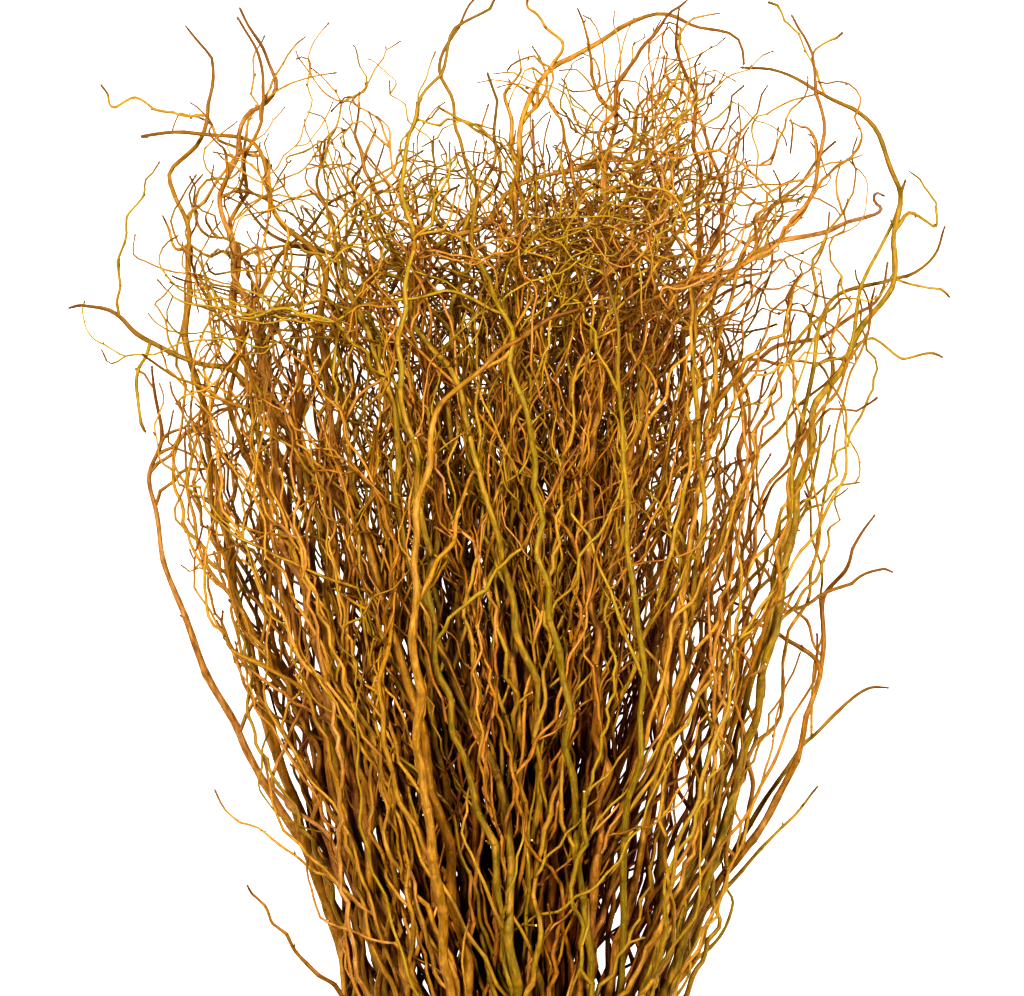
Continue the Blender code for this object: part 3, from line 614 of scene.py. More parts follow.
def skeleton():
    """{node name: its limbs, the leader first}, as the part's source lays them out, and their fan."""
    draw = np.random.default_rng(SEED)
    count = len(REACHING_STEMS) + CROWD_STEMS
    cut_radii = draw.uniform(*CUT_RADIUS, count)
    fan = Fan(leader_radius(cut_radii, (TIE_RISE - TIE_STRAIGHT) / 1.45))
    stems, taken = {}, set()
    for name, (height, route, twigs) in REACHING_STEMS.items():
        wanted = np.array((route[0][0] / 0.20, (height - 0.16) / 0.17))
        lane = fan.nearest(wanted / max(1.0, float(np.hypot(*wanted)) / 0.8), taken)
        taken.add(lane)
        stems[f"stem_{name}"] = [leader_on_route(fan, fan.lanes[lane], cut_radii[lane], height, route)]
    free = [k for k in range(count) if k not in taken]
    for number, lane in enumerate(free, 1):
        rise_end = draw.uniform(*CROWD_TIPS)
        stems[f"stem_{number:02d}"] = [leader_in_crowd(fan, fan.lanes[lane], cut_radii[lane], rise_end, draw)]
    Tangle(stems).pushed_apart(PUSHES)
    for name, (height, route, twigs) in REACHING_STEMS.items():
        for twig in twigs:
            stems[f"stem_{name}"].append(twig_on_route(stems[f"stem_{name}"], twig))
    for limbs in stems.values():
        spin = draw.uniform(0, 2 * math.pi)
        wanted = SHOOTS[:1] + SHOOTS[len(limbs):]
        for k, (rise, length, lean) in enumerate(wanted):
            far = np.abs(limbs[0].points[:-3, 1] - draw.uniform(*rise))
            at = max(3, int(np.argmin(far)))
            long, leaning = draw.uniform(*length), draw.uniform(*lean)
            limbs.append(shoot_in_crowd(limbs[0], at, long, leaning, spin + 2.4 * k, draw))
    for _ in range(4):
        tangle = Tangle(stems)
        tangle.pushed_apart(PUSHES)
        tight = tangle.tight_limbs()
        if not tight:
            break
        for k, limb in enumerate(tangle.limbs):
            if k in tight and limb.parent is not None:
                drop(stems, limb)
    return stems, fan


def drop(stems, limb):
    """Takes a shoot off its stem, unless another limb grows from it."""
    for limbs in stems.values():
        if any(one is limb for one in limbs) and not any(one.parent is limb for one in limbs):
            limbs[:] = [one for one in limbs if one is not limb]


class Growth:
    """Limbs that are drawn alike: paths (limb, ring, xyz), radii (limb, ring), and the stem of each."""

    def __init__(self, paths, radii, stems, sides):
        self.paths = paths
        self.radii = radii
        self.stems = np.asarray(stems)
        self.sides = sides
        self.buds = 0.0
        self.knots = np.zeros_like(radii)
        self.beats = np.zeros_like(radii)
        self.tones = np.zeros(len(radii))

    def along(self):
        """Length from the root to each ring."""
        steps = np.linalg.norm(np.diff(self.paths, axis=1), axis=2)
        return np.concatenate([np.zeros((len(steps), 1)), np.cumsum(steps, axis=1)], axis=1)


def tangents(paths):
    """The way each path runs at each of its rings."""
    ends = [paths[:, 1:2] - paths[:, :1], paths[:, 2:] - paths[:, :-2], paths[:, -1:] - paths[:, -2:-1]]
    return unit(np.concatenate(ends, axis=1))


def carried(paths):
    """Two directions across every path at each ring, carried along it without twist."""
    ways = tangents(paths)
    across = np.empty_like(paths)
    far = np.where(np.abs(ways[:, 0, 2:3]) < 0.9, (0.0, 0.0, 1.0), (1.0, 0.0, 0.0))
    across[:, 0] = unit(np.cross(ways[:, 0], far))
    for k in range(1, paths.shape[1]):
        last = across[:, k - 1]
        across[:, k] = unit(last - ways[:, k] * (last * ways[:, k]).sum(1, keepdims=True))
    return ways, across, np.cross(ways, across)


def evenly(points, radii, count):
    """A limb of the frame as this many rings, evenly spaced on a smooth curve through its points."""
    fine = through(points, [10] * (len(points) - 1))
    wide = np.interp(np.arange(len(fine)) / 10, np.arange(len(radii)), radii)
    place = shares(fine)
    wanted = np.linspace(0, 1, count)
    path = np.stack([np.interp(wanted, place, fine[:, axis]) for axis in range(3)], 1)
    return path, np.interp(wanted, place, wide), place[::10]


def crooked(growth, height, kink, draw, start=0.03, nodes=NODE_SPACING):
    """Lays a corkscrew wave and a crook at every node across the paths.

    One way across the path it moves by height * sin(t + a), the other way by 0.8 * height * cos(t + b), where t is
    2 pi s / period + 0.9 sin(2 pi s / (3.3 period) + c) at the length s. To that comes an offset drawn for each
    node and carried straight from node to node, so that the limb has corners at its nodes, where it also swells by
    a Gaussian 3 mm wide. The wave fades in from the root over the start length and is down to STRAIGHT_SHARE low
    in the bunch, and the offsets are less there too.
    """
    count = len(growth.paths)
    s = growth.along()
    _, across, up = carried(growth.paths)
    begun = ease(s / start)
    loose = begun * (STRAIGHT_SHARE + (1 - STRAIGHT_SHARE) * faded_in(growth.paths, CROOKED_RISE))
    period = draw.uniform(*WAVE_PERIOD, (count, 1))
    a, b, c = draw.uniform(0, 2 * math.pi, (3, count, 1))
    turn = 2 * math.pi * s / period + 0.9 * np.sin(2 * math.pi * s / (3.3 * period) + c)
    high = height * draw.uniform(0.6, 1.3, (count, 1)) * loose
    spacing = draw.uniform(*nodes, (count, 1))
    beat = s / spacing + draw.uniform(0, 1, (count, 1))
    node = beat.astype(int)
    share = beat - node
    offsets = kink * draw.normal(size=(2, count, int(node.max()) + 2))
    offsets[0] += 0.8 * kink * (-1.0) ** np.arange(offsets.shape[2])
    bend = [
        (1 - share) * np.take_along_axis(offset, node, 1) + share * np.take_along_axis(offset, node + 1, 1)
        for offset in offsets
    ]
    crook = 0.45 * loose + 0.55 * begun
    first = high * np.sin(turn + a) + bend[0] * crook
    second = 0.8 * high * np.cos(turn + b) + bend[1] * crook
    growth.paths = growth.paths + first[..., None] * across + second[..., None] * up
    growth.beats = beat
    growth.knots = np.exp(-((np.minimum(share, 1 - share) * spacing) / 0.0030) ** 2)
    uneven = 0.07 * np.sin(2 * math.pi * s / (0.21 * period / 0.08) + b)
    uneven += 0.05 * np.sin(2 * math.pi * s / 0.043 + c)
    growth.radii = growth.radii * (1 + 0.14 * growth.knots + uneven)


def sites(growths, density, count, draw):
    """Places for new limbs, drawn from the rings of the growths.

    The chance of a ring is its length times the density at its rise times the crowding at its place across the
    fan. Gives for each place its root, the way its parent runs there, the parent's radius, and its stem.
    """
    roots = np.concatenate([g.paths[:, 1:-3].reshape(-1, 3) for g in growths])
    ways = np.concatenate([tangents(g.paths)[:, 1:-3].reshape(-1, 3) for g in growths])
    wide = np.concatenate([g.radii[:, 1:-3].ravel() for g in growths])
    owners = np.concatenate([np.repeat(g.stems, g.paths.shape[1] - 4) for g in growths])
    steps = np.concatenate([np.diff(g.along(), axis=1)[:, 1:-2].ravel() for g in growths])
    lane = roots[:, 0] / outline_at(roots[:, 1])[0]
    high = faded_in(roots, CROWDING_RISE)
    crowding = (1 - high) * np.interp(lane, *zip(*LOW_CROWDING)) + high * np.interp(lane, *zip(*TOP_CROWDING))
    room = np.interp(roots[:, 0], *zip(*TOP_LINE)) - roots[:, 1]
    weights = steps * np.interp(roots[:, 1], *zip(*density)) * crowding * (room > 0)
    picked = draw.choice(len(weights), count, p=weights / weights.sum())
    return roots[picked], ways[picked], wide[picked], owners[picked]


def grown(roots, ways, lengths, lean, rings, curl, pull, draw):
    """Paths that leave their parents at an angle and wander with the fan.

    The heading turns by curl * (a slowly changing random vector) per metre, takes a sharp random turn at about
    every node, and is pulled towards the way in which the fan opens, or back inwards where the path would leave
    the fan. Low down the pull wins, and high up the curl. A path that would pass the top of the bunch is made
    shorter, and a turn past SHARPEST is eased.
    """
    count = len(roots)
    room = np.interp(roots[:, 0], *zip(*TOP_LINE)) - roots[:, 1]
    lengths = np.minimum(lengths, 0.040 + 1.25 * room)
    step = (lengths / (rings - 1))[:, None]
    side = unit(np.cross(ways, draw.normal(size=(count, 3))))
    lean = draw.uniform(*lean, (count, 1))
    heading = unit(ways * np.cos(lean) + side * np.sin(lean))
    over_top = draw.uniform(-0.030, 0.025, count)
    edge = draw.uniform(0.80, 1.08, count)
    ceiling = draw.uniform(1.5, 1.9, count)
    bend = draw.normal(size=(count, 3))
    keep = np.exp(-step / 0.050)
    paths = [roots]
    for _ in range(rings - 1):
        here = paths[-1]
        half_width, half_height = outline_at(here[:, 1])
        further_width, further_height = outline_at(here[:, 1] + 0.05)
        opening = (further_width / half_width - 1) / 0.05
        rising = (further_height / half_height - 1) / 0.05
        outward = unit(np.stack([here[:, 0] * opening, np.ones(count), here[:, 2] * rising], 1))
        over = np.maximum(0, np.abs(here[:, 0]) / (edge * half_width) - 1)
        outward[:, 0] -= np.sign(here[:, 0]) * np.minimum(2.6, 24 * over)
        outward[:, 1] -= 2.4 * (here[:, 1] > np.interp(here[:, 0], *zip(*TOP_LINE)) + over_top)
        outward[:, 2] += 0.8 * (here[:, 2] < 0.015) - 1.6 * (here[:, 2] > ceiling * half_height)
        loose = faded_in(here, CURLY_RISE)[:, None]
        bend = keep * bend + np.sqrt(1 - keep**2) * draw.normal(size=(count, 3))
        turned_back = np.linalg.norm(outward, axis=1, keepdims=True) > 1.3
        strength = pull * (2.4 - 1.4 * loose) * (1 + 2.5 * turned_back)
        wander = curl * (0.30 + 0.70 * loose) * bend
        at_node = draw.uniform(size=(count, 1)) < step / np.mean(NODE_SPACING)
        turned = NODE_TURN * (0.45 + 0.55 * loose) * at_node * draw.normal(size=(count, 3))
        before = heading
        heading = unit(heading + step * (strength * (outward - heading) + wander) + turned)
        sharp = (heading * before).sum(1, keepdims=True) < SHARPEST
        heading = np.where(sharp, unit(heading + 1.5 * before), heading)
        paths.append(here + step * heading)
    return np.stack(paths, 1)


def tapered(base, tip, rings, power):
    """Radii from a base to a tip, falling by a power of what is left of the length."""
    left = 1 - np.linspace(0, 1, rings)[None]
    return tip + (base[:, None] - tip) * left**power


def inside_box(growth):
    """Keeps the middle lines over the floor and, by a smooth squeeze near its sides, in the box of the frame.

    A coordinate past a margin inside a side becomes that margin plus 30 mm * tanh(what is over / 30 mm).
    """
    low, high = (np.array(corner) + (*FAN_MIDDLE, 0.0) for corner in CAD_BOX)
    reach = 0.030
    for axis, (least, most) in enumerate(zip(low - (0.006, 0.006, 0.3), high + 0.006)):
        values = growth.paths[..., axis]
        over = np.maximum(0, values - (most - reach))
        under = np.maximum(0, (least + reach) - values)
        values = values - over + reach * np.tanh(over / reach)
        growth.paths[..., axis] = values + under - reach * np.tanh(under / reach)
    growth.paths[..., 2] = np.maximum(growth.paths[..., 2], 0.97 * growth.radii)


def frame_growths(stems, sizes, draw):
    """The leaders, long shoots and short shoots of the frame as growths, made crooked.

    The shoots move with their crooked parents: each by the shift of its root, times exp(-s / 60 mm). Above the tie
    all are a little stouter than in the frame, and a few that stand out in front more so.
    """
    names = list(stems)
    limbs = [(k, limb) for k, name in enumerate(names) for limb in stems[name]]
    kinds = [[], [], []]
    for k, limb in limbs:
        kinds[0 if limb.parent is None else 1 if len(limb.points) > LONG_SHOOT else 2].append((k, limb))
    places, growths = {}, []
    for members, (rings, sides, kink, nodes, buds) in zip(kinds, FRAME_RULES):
        made = [evenly(limb.points, limb.radii, rings) for _, limb in members]
        growth = Growth(
            np.array([m[0] for m in made]), np.array([m[1] for m in made]), [k for k, _ in members], sides
        )
        for row, (_, limb) in enumerate(members):
            places[id(limb)] = (growth, row, made[row][2])
        growths.append(growth)
        stouter = np.array([STOUTER.get(names[k], STOUT) for k in growth.stems])
        growth.radii *= 1 + stouter[:, None] * faded_in(growth.paths, STOUT_RISE)
        still = growth.paths.copy()
        growth.buds = buds
        crooked(growth, FRAME_WAVE * sizes.wave_height, kink, draw, nodes=nodes)
        if members[0][1].parent is None:
            growth.paths = still + faded_in(still, UNTIED_RISE)[..., None] * (growth.paths - still)
    for members in kinds[1:]:
        for _, limb in sorted(members, key=lambda item: item[1].parent.parent is not None):
            growth, row, _ = places[id(limb)]
            parent, parent_row, parent_places = places[id(limb.parent)]
            wanted = parent_places[limb.root] * (parent.paths.shape[1] - 1)
            rings = np.arange(parent.paths.shape[1])
            root = [np.interp(wanted, rings, parent.paths[parent_row, :, axis]) for axis in range(3)]
            shift = np.array(root) - growth.paths[row, 0]
            s = growth.along()[row]
            growth.paths[row] += shift * np.exp(-s / 0.06)[:, None]
    return growths


def all_growths(stems, sizes, draw):
    """Every limb of the bunch: those of the frame, then the finer ones by GROWTH_RULES, each with its own tone."""
    growths = frame_growths(stems, sizes, draw)
    for rule in GROWTH_RULES:
        parents = [growths[k] for k in rule["on"]]
        count = getattr(sizes, rule["name"]) * len(stems)
        roots, ways, wide, owners = sites(parents, rule["density"], count, draw)
        lengths = draw.uniform(*rule["length"], len(roots))
        rings = rule["rings"]
        paths = grown(roots, ways, lengths, rule["lean"], rings, rule["curl"], rule["pull"], draw)
        base = np.minimum(rule["share"] * wide, draw.uniform(*rule["base"], len(roots)))
        growth = Growth(paths, tapered(base, rule["tip"], rings, 0.85), owners, rule["sides"])
        growth.buds = rule["buds"]
        crooked(growth, rule["wave"] * sizes.wave_height, rule["kink"], draw, 0.02)
        growths.append(growth)
    for growth in growths:
        growth.tones = draw.uniform(0, 1, len(growth.paths))
        inside_box(growth)
    return growths


class Patch:
    """Vertices, faces, UVs and attributes gathered for one object."""

    def __init__(self):
        self.vertices, self.loops, self.totals, self.uvs, self.materials = [], [], [], [], []
        self.marks = {"tone": [], "age": [], "beat": [], "tip": [], "painted_shade": []}
        self.count = 0

    def add(self, vertices, faces, uvs, tone, age, beat, tip, painted_shade, material=0):
        """Adds faces with the same number of corners; uvs holds one pair for each corner of each face."""
        self.vertices.append(vertices)
        self.loops.append((faces + self.count).ravel())
        self.totals.append(np.full(len(faces), faces.shape[1]))
        self.uvs.append(uvs.reshape(-1, 2))
        self.materials.append(np.full(len(faces), material))
        for store, value in zip(self.marks.values(), (tone, age, beat, tip, painted_shade)):
            store.append(np.broadcast_to(value, len(vertices)))
        self.count += len(vertices)

    def object(self, name, materials):
        """The gathered mesh as an object at the origin."""
        vertices = np.concatenate(self.vertices) - (*FAN_MIDDLE, 0.0)
        vertices[:, 2] = np.maximum(vertices[:, 2], 0.0)
        loops, totals = np.concatenate(self.loops), np.concatenate(self.totals)
        mesh = bpy.data.meshes.new(name)
        mesh.vertices.add(len(vertices))
        mesh.vertices.foreach_set("co", vertices.astype(np.float32).ravel())
        mesh.loops.add(len(loops))
        mesh.loops.foreach_set("vertex_index", loops.astype(np.int32))
        mesh.polygons.add(len(totals))
        mesh.polygons.foreach_set("loop_start", (np.cumsum(totals) - totals).astype(np.int32))
        mesh.polygons.foreach_set("material_index", np.concatenate(self.materials).astype(np.int32))
        mesh.update(calc_edges=True)
        mesh.polygons.foreach_set("use_smooth", np.ones(len(totals), bool))
        layer = mesh.uv_layers.new(name="bark")
        layer.data.foreach_set("uv", np.concatenate(self.uvs).astype(np.float32).ravel())
        for label, values in self.marks.items():
            attribute = mesh.attributes.new(label, "FLOAT", "POINT")
            attribute.data.foreach_set("value", np.concatenate(values).astype(np.float32))
        mesh.validate()
        for material in materials:
            mesh.materials.append(material)
        obj = bpy.data.objects.new(name, mesh)
        bpy.context.scene.collection.objects.link(obj)
        return obj


def shade_under_skin(paths):
    """How much painted shade each ring gets, by how far down in the closed part of the bunch it lies: 0 at its
    upper skin, 1 from about its middle down.

    The skin is at 2 * half height * sqrt(1 - a^2), where a is the place across the fan from -1 to 1. The painted
    shade fades out over the shade fade span of rises, where the bunch opens and light reaches its inside.
    """
    half_width, half_height = outline_at(paths[..., 1])
    lane = np.clip(paths[..., 0] / half_width, -1, 1)
    painted_shade = ease((2 * half_height * np.sqrt(1 - lane**2) - paths[..., 2]) / half_height - 0.1)
    return painted_shade * (1 - faded_in(paths, SHADE_FADE_RISE))


def tube_faces(rings, sides):
    """Faces of a tube as (ring, side) quads, with a pair of UVs for each corner: share around, ring number."""
    ring, side = np.meshgrid(np.arange(rings - 1), np.arange(sides), indexing="ij")
    ring, side = ring.ravel(), side.ravel()
    after = (side + 1) % sides
    here, above = ring * sides, (ring + 1) * sides
    faces = np.stack([here + side, here + after, above + after, above + side], 1)
    around = np.stack([side, side + 1, side + 1, side], 1) / sides
    along = np.stack([ring, ring, ring + 1, ring + 1], 1)
    return faces, around, along


def closing(sides, outward=True):
    """Triangles from a ring of corners to a last point in its middle."""
    side = np.arange(sides)
    after = (side + 1) % sides
    return np.stack([side, after, np.full(sides, sides)] if outward else [after, side, np.full(sides, sides)], 1)


def ring_angles(sides):
    return 2 * math.pi * np.arange(sides) / sides


def spokes_of(across, up, angle):
    """Unit vectors from each ring's middle to its corners."""
    return np.cos(angle)[:, None] * across[..., None, :] + np.sin(angle)[:, None] * up[..., None, :]


def add_tubes(patches, growth):
    """Adds every limb of a growth to its stem's patch: rings of corners round the path, and a closed end.

    The end is drawn out to a point, or is blunt broken wood on a stub. A leader has a flat disc at its cut end.
    """
    rings, sides = growth.paths.shape[1], growth.sides
    _, across, up = carried(growth.paths)
    angle = ring_angles(sides)
    corners = growth.paths[:, :, None] + growth.radii[..., None, None] * spokes_of(across, up, angle)
    faces, around, ring_of = tube_faces(rings, sides)
    s = growth.along()
    # How much painted shade each ring gets
    shade_share = shade_under_skin(growth.paths)
    for k, stem in enumerate(growth.stems):
        patch = patches[stem]
        uvs = np.stack([around, s[k][ring_of]], 2)
        radii = np.repeat(growth.radii[k], sides)
        age = np.clip((radii - 0.0009) / 0.0042, 0, 1)
        beat = np.repeat(growth.beats[k], sides)
        tip = np.repeat(np.clip(np.linspace(-6, 1, rings), 0, 1), sides) * (growth.buds is not None)
        tone, painted_shade = growth.tones[k], np.repeat(shade_share[k], sides)
        patch.add(corners[k].reshape(-1, 3), faces, uvs, tone, age, beat, tip, painted_shade)
        broken = growth.buds is None
        reach = (0.5 if broken else 1.2) * growth.radii[k, -1]
        point = growth.paths[k, -1] + reach * unit(growth.paths[k, -1] - growth.paths[k, -2])
        last = np.vstack([corners[k, -1], point])
        flat = np.zeros((sides, 3, 2)) + (0.5, s[k, -1])
        patch.add(last, closing(sides), flat, tone, 0.0, 0.5, 1.0, shade_share[k, -1], int(broken))
        if growth.paths[k, 0, 1] < 0.01:
            first = np.vstack([corners[k, 0], growth.paths[k, 0]])
            spread = np.stack([np.cos(angle), np.sin(angle)], 1)
            flat = np.stack([np.roll(spread, -1, 0), spread, np.zeros((sides, 2))], 1)
            patch.add(first, closing(sides, outward=False), flat, tone, 1.0, 0.5, 0.0, 0.0, 1)


def add_buds(patches, growth, length, draw):
    """Adds buds at some of the nodes and one at the tip of each limb.

    A bud is a spindle of four sides that lies along the limb and leans off it, with its radii from BUD_PROFILE.
    """
    if growth.buds is None:
        return
    ways, across, up = carried(growth.paths)
    peak = np.zeros_like(growth.knots, bool)
    knots = growth.knots
    peak[:, 2:-2] = (knots[:, 2:-2] > knots[:, 1:-3]) & (knots[:, 2:-2] >= knots[:, 3:-1])
    peak &= (knots > 0.05) & (draw.uniform(size=peak.shape) < growth.buds)
    peak &= growth.paths[..., 1] > STOUT_RISE[0]
    peak[:, -1] = True
    # How much painted shade each bud gets
    shade_share = shade_under_skin(growth.paths)
    stations, widths = np.array(BUD_PROFILE).T
    faces, around, ring_of = tube_faces(4, 4)
    angle = math.pi / 2 * np.arange(4) + math.pi / 4
    for k, ring in zip(*np.nonzero(peak)):
        spin = draw.uniform(0, 2 * math.pi)
        at_tip = ring == growth.paths.shape[1] - 1
        off = math.cos(spin) * across[k, ring] + math.sin(spin) * up[k, ring]
        axis = unit(ways[k, ring] + (0.1 if at_tip else 0.65) * off)
        side = unit(np.cross(axis, off))
        high = np.cross(axis, side)
        long = length * draw.uniform(0.7, 1.3)
        wide = BUD_SLIMNESS * long
        if at_tip:
            wide = max(wide, 1.25 * growth.radii[k, ring])
        start = growth.paths[k, ring] + (0.0 if at_tip else 0.7) * growth.radii[k, ring] * off
        round_it = np.cos(angle)[:, None] * side + np.sin(angle)[:, None] * high
        body = start + (stations * long)[:, None, None] * axis + (widths * wide)[:, None, None] * round_it[None]
        uvs = np.stack([around, 0.004 * ring_of], 2)
        patch = patches[growth.stems[k]]
        patch.add(body.reshape(-1, 3), faces, uvs, growth.tones[k], 0.1, 0.5, 0.85, shade_share[k, ring])


def linear(text):
    """An sRGB hex colour as linear red, green, blue and alpha."""
    parts = [int(text[k:k + 2], 16) / 255 for k in (1, 3, 5)]
    return tuple(p / 12.92 if p <= 0.04045 else ((p + 0.055) / 1.055) ** 2.4 for p in parts) + (1.0,)


def add_node(tree, kind, inputs, **settings):
    """Adds a node: settings are its properties, and inputs are {name or number: plain value or socket}."""
    node = tree.nodes.new(kind)
    for key, value in settings.items():
        setattr(node, key, value)
    for place, given in inputs.items():
        if isinstance(given, bpy.types.NodeSocket):
            tree.links.new(given, node.inputs[place])
        else:
            node.inputs[place].default_value = given
    return node


def attribute(tree, name):
    return add_node(tree, "ShaderNodeAttribute", {}, attribute_name=name).outputs["Fac"]


def maths(tree, operation, *values):
    return add_node(tree, "ShaderNodeMath", dict(enumerate(values)), operation=operation).outputs[0]


def texture(tree, kind, place, scale, inputs, output="Fac"):
    """A texture read at the place times the scale, so in repeats per metre where the place is in metres."""
    scaled = add_node(tree, "ShaderNodeMapping", {"Vector": place, "Scale": scale})
    return add_node(tree, kind, {"Vector": scaled.outputs[0], "Scale": 1.0, **inputs}).outputs[output]


def ranged(tree, value, start, end, low=0.0, high=1.0):
    """The value mapped from start..end to low..high, and kept between those."""
    inputs = {"Value": value, "From Min": start, "From Max": end, "To Min": low, "To Max": high}
    return add_node(tree, "ShaderNodeMapRange", inputs).outputs[0]


def blended(tree, factor, first, second, blend="MIX"):
    """Two colours mixed by a factor."""
    inputs = {0: factor, 6: first, 7: second}
    return add_node(tree, "ShaderNodeMix", inputs, data_type="RGBA", blend_type=blend).outputs[2]


def new_material(name):
    """An empty material with its tree and its shader."""
    material = bpy.data.materials.new(name)
    material.use_nodes = True
    shader = material.node_tree.nodes["Principled BSDF"]
    return material, material.node_tree, shader


def bark_material(slot, young, old, second, node_colour):
    """Curly willow bark: thin, smooth and slightly waxy.

    Young twigs are golden and older wood goes olive or tan. It has patches of a second tint one or two centimetres
    long, fine lengthwise wrinkles under a millimetre apart, pale specks a few millimetres long, and dark scars and
    tips. Far down in the closed part of the bunch the bark colour is darker and browner: this is painted shade.
    """
    material, tree, shader = new_material(f"willow_{slot}")
    tone, age, beat, tip, painted_shade = (attribute(tree, name) for name in ("tone", "age", "beat", "tip", "painted_shade"))
    place = add_node(tree, "ShaderNodeTexCoord", {})
    patches = texture(
        tree, "ShaderNodeTexNoise", place.outputs["Object"], (150.0, 42.0, 150.0),
        {"Detail": 3.0, "Roughness": 0.6},
    )
    wrinkles = texture(
        tree, "ShaderNodeTexNoise", place.outputs["UV"], (9.0, 70.0, 1.0), {"Detail": 4.0, "Roughness": 0.65}
    )
    specks = texture(
        tree, "ShaderNodeTexVoronoi", place.outputs["UV"], (5.0, 160.0, 1.0), {"Randomness": 1.0}, "Distance"
    )

    aged = blended(tree, ranged(tree, age, 0.12, 0.62), young, old)
    tinted_by = ranged(tree, maths(tree, "MULTIPLY_ADD", patches, 3.2, tone), 1.75, 2.75)
    tinted = blended(tree, tinted_by, aged, second)
    # Painted shade: far down in the closed bunch the bark colour is multiplied by a darker, browner tint
    shade_painted = blended(tree, painted_shade, tinted, linear(SHADED_TINT), "MULTIPLY")
    streaked = blended(tree, 1.0, shade_painted, ranged(tree, wrinkles, 0.30, 0.72, 0.45, 1.15), "MULTIPLY")
    speckled = blended(tree, ranged(tree, specks, 0.16, 0.06, 0.0, 0.55), streaked, linear(SPECK_COLOUR))
    # A beat goes up by 1 from node to node, so it is whole at a node, and the scar there is broken up by wrinkles
    at_node = ranged(tree, maths(tree, "PINGPONG", beat, 0.5), 0.055, 0.015, 0.0, 0.75)
    scar = maths(tree, "MULTIPLY", at_node, ranged(tree, wrinkles, 0.46, 0.60))
    dark = maths(tree, "MULTIPLY", maths(tree, "MAXIMUM", scar, tip), 0.72)
    tree.links.new(blended(tree, dark, speckled, node_colour), shader.inputs["Base Color"])
    tree.links.new(ranged(tree, wrinkles, 0.0, 1.0, 0.42, 0.66), shader.inputs["Roughness"])
    bump = add_node(tree, "ShaderNodeBump", {"Height": wrinkles, "Strength": 0.8, "Distance": 0.0007})
    tree.links.new(bump.outputs[0], shader.inputs["Normal"])
    shader.inputs["Specular IOR Level"].default_value = 0.3
    return material


def cut_material(colour):
    """Freshly cut willow: pale, dry wood with faint rings about 0.7 mm apart."""
    material, tree, shader = new_material("cut_willow_wood")
    place = add_node(tree, "ShaderNodeTexCoord", {})
    centre = add_node(tree, "ShaderNodeVectorMath", {0: place.outputs["UV"]}, operation="LENGTH")
    rings = maths(tree, "SINE", maths(tree, "MULTIPLY", centre.outputs["Value"], 44.0))
    ringed = blended(tree, 1.0, colour, ranged(tree, rings, -1.0, 1.0, 0.82, 1.0), "MULTIPLY")
    tree.links.new(ringed, shader.inputs["Base Color"])
    shader.inputs["Roughness"].default_value = 0.8
    return material


def twine_material(colour):
    """Jute twine: dull, hairy fibre, with painted shade darkening the grooves between its strands, by the mark
    "tip".
    """
    material, tree, shader = new_material("twisted_jute_twine")
    place = add_node(tree, "ShaderNodeTexCoord", {})
    fibres = texture(
        tree, "ShaderNodeTexNoise", place.outputs["UV"], (14.0, 900.0, 1.0), {"Detail": 5.0, "Roughness": 0.7}
    )
    hairy = blended(tree, 1.0, colour, ranged(tree, fibres, 0.25, 0.75, 0.55, 1.2), "MULTIPLY")
    # Painted shade: the grooves between the strands are mixed towards a dark brown
    strand_shade = maths(tree, "MULTIPLY", attribute(tree, "tip"), 0.6)
    tree.links.new(blended(tree, strand_shade, hairy, linear(STRAND_SHADE_COLOUR)), shader.inputs["Base Color"])
    bump = add_node(tree, "ShaderNodeBump", {"Height": fibres, "Strength": 0.8, "Distance": 0.0004})
    tree.links.new(bump.outputs[0], shader.inputs["Normal"])
    shader.inputs["Roughness"].default_value = 0.9
    return material


def colour_property(name, description, text):
    return bpy.props.FloatVectorProperty(
        name=name, description=description, default=linear(text), subtype="COLOR", size=4, min=0.0, max=1.0
    )


class WillowSizes(bpy.types.PropertyGroup):
    """Sizes and numbers that shape the bunch."""

    wave_height: bpy.props.FloatProperty(
        name="Wave height", description="How far a limb sways to each side of its own line",
        default=0.0036, min=0.0, max=0.02, subtype="DISTANCE", unit="LENGTH",
    )
    forks: bpy.props.IntProperty(
        name="Forks", description="Long thin forks that each stem has low down", default=4, min=1, max=8
    )
    side_shoots: bpy.props.IntProperty(
        name="Side shoots", description="Slim shoots half way up each stem", default=3, min=1, max=12
    )
    twigs: bpy.props.IntProperty(
        name="Twigs", description="Curly twigs in the upper half of each stem", default=14, min=1, max=40
    )
    sprigs: bpy.props.IntProperty(
        name="Sprigs", description="Short twigs that grow on the twigs and shoots", default=18, min=1, max=60
    )
    crossings: bpy.props.IntProperty(
        name="Crossings", description="Thin twigs low down that lie across the stems", default=5, min=1, max=20
    )
    stubs: bpy.props.IntProperty(
        name="Stubs", description="Short side twigs that have broken off", default=7, min=1, max=40
    )
    bud_length: bpy.props.FloatProperty(
        name="Bud length", description="Length of a winter bud",
        default=0.0048, min=0.001, max=0.02, subtype="DISTANCE", unit="LENGTH",
    )
    twine: bpy.props.FloatProperty(
        name="Twine", description="Thickness of the twine of the tie",
        default=TWINE, min=0.001, max=0.01, subtype="DISTANCE", unit="LENGTH",
    )


class WillowColours(bpy.types.PropertyGroup):
    """Colours that the barks share, and those of the cut wood, the twine and the floor."""

    node: colour_property("Nodes", "Bark at the nodes, buds and tips", NODE_COLOUR)
    cut: colour_property("Cut wood", "The cut ends of the stems", CUT_COLOUR)
    twine: colour_property("Twine", "Jute twine of the tie", TWINE_COLOUR)
    floor: colour_property("Floor", "The floor that the bunch lies on", FLOOR_COLOUR)


LAYOUT = {}


def layout():
    """The stems of the frame and their fan, worked out once."""
    if not LAYOUT:
        LAYOUT["stems"], LAYOUT["fan"] = skeleton()
    return LAYOUT["stems"], LAYOUT["fan"]


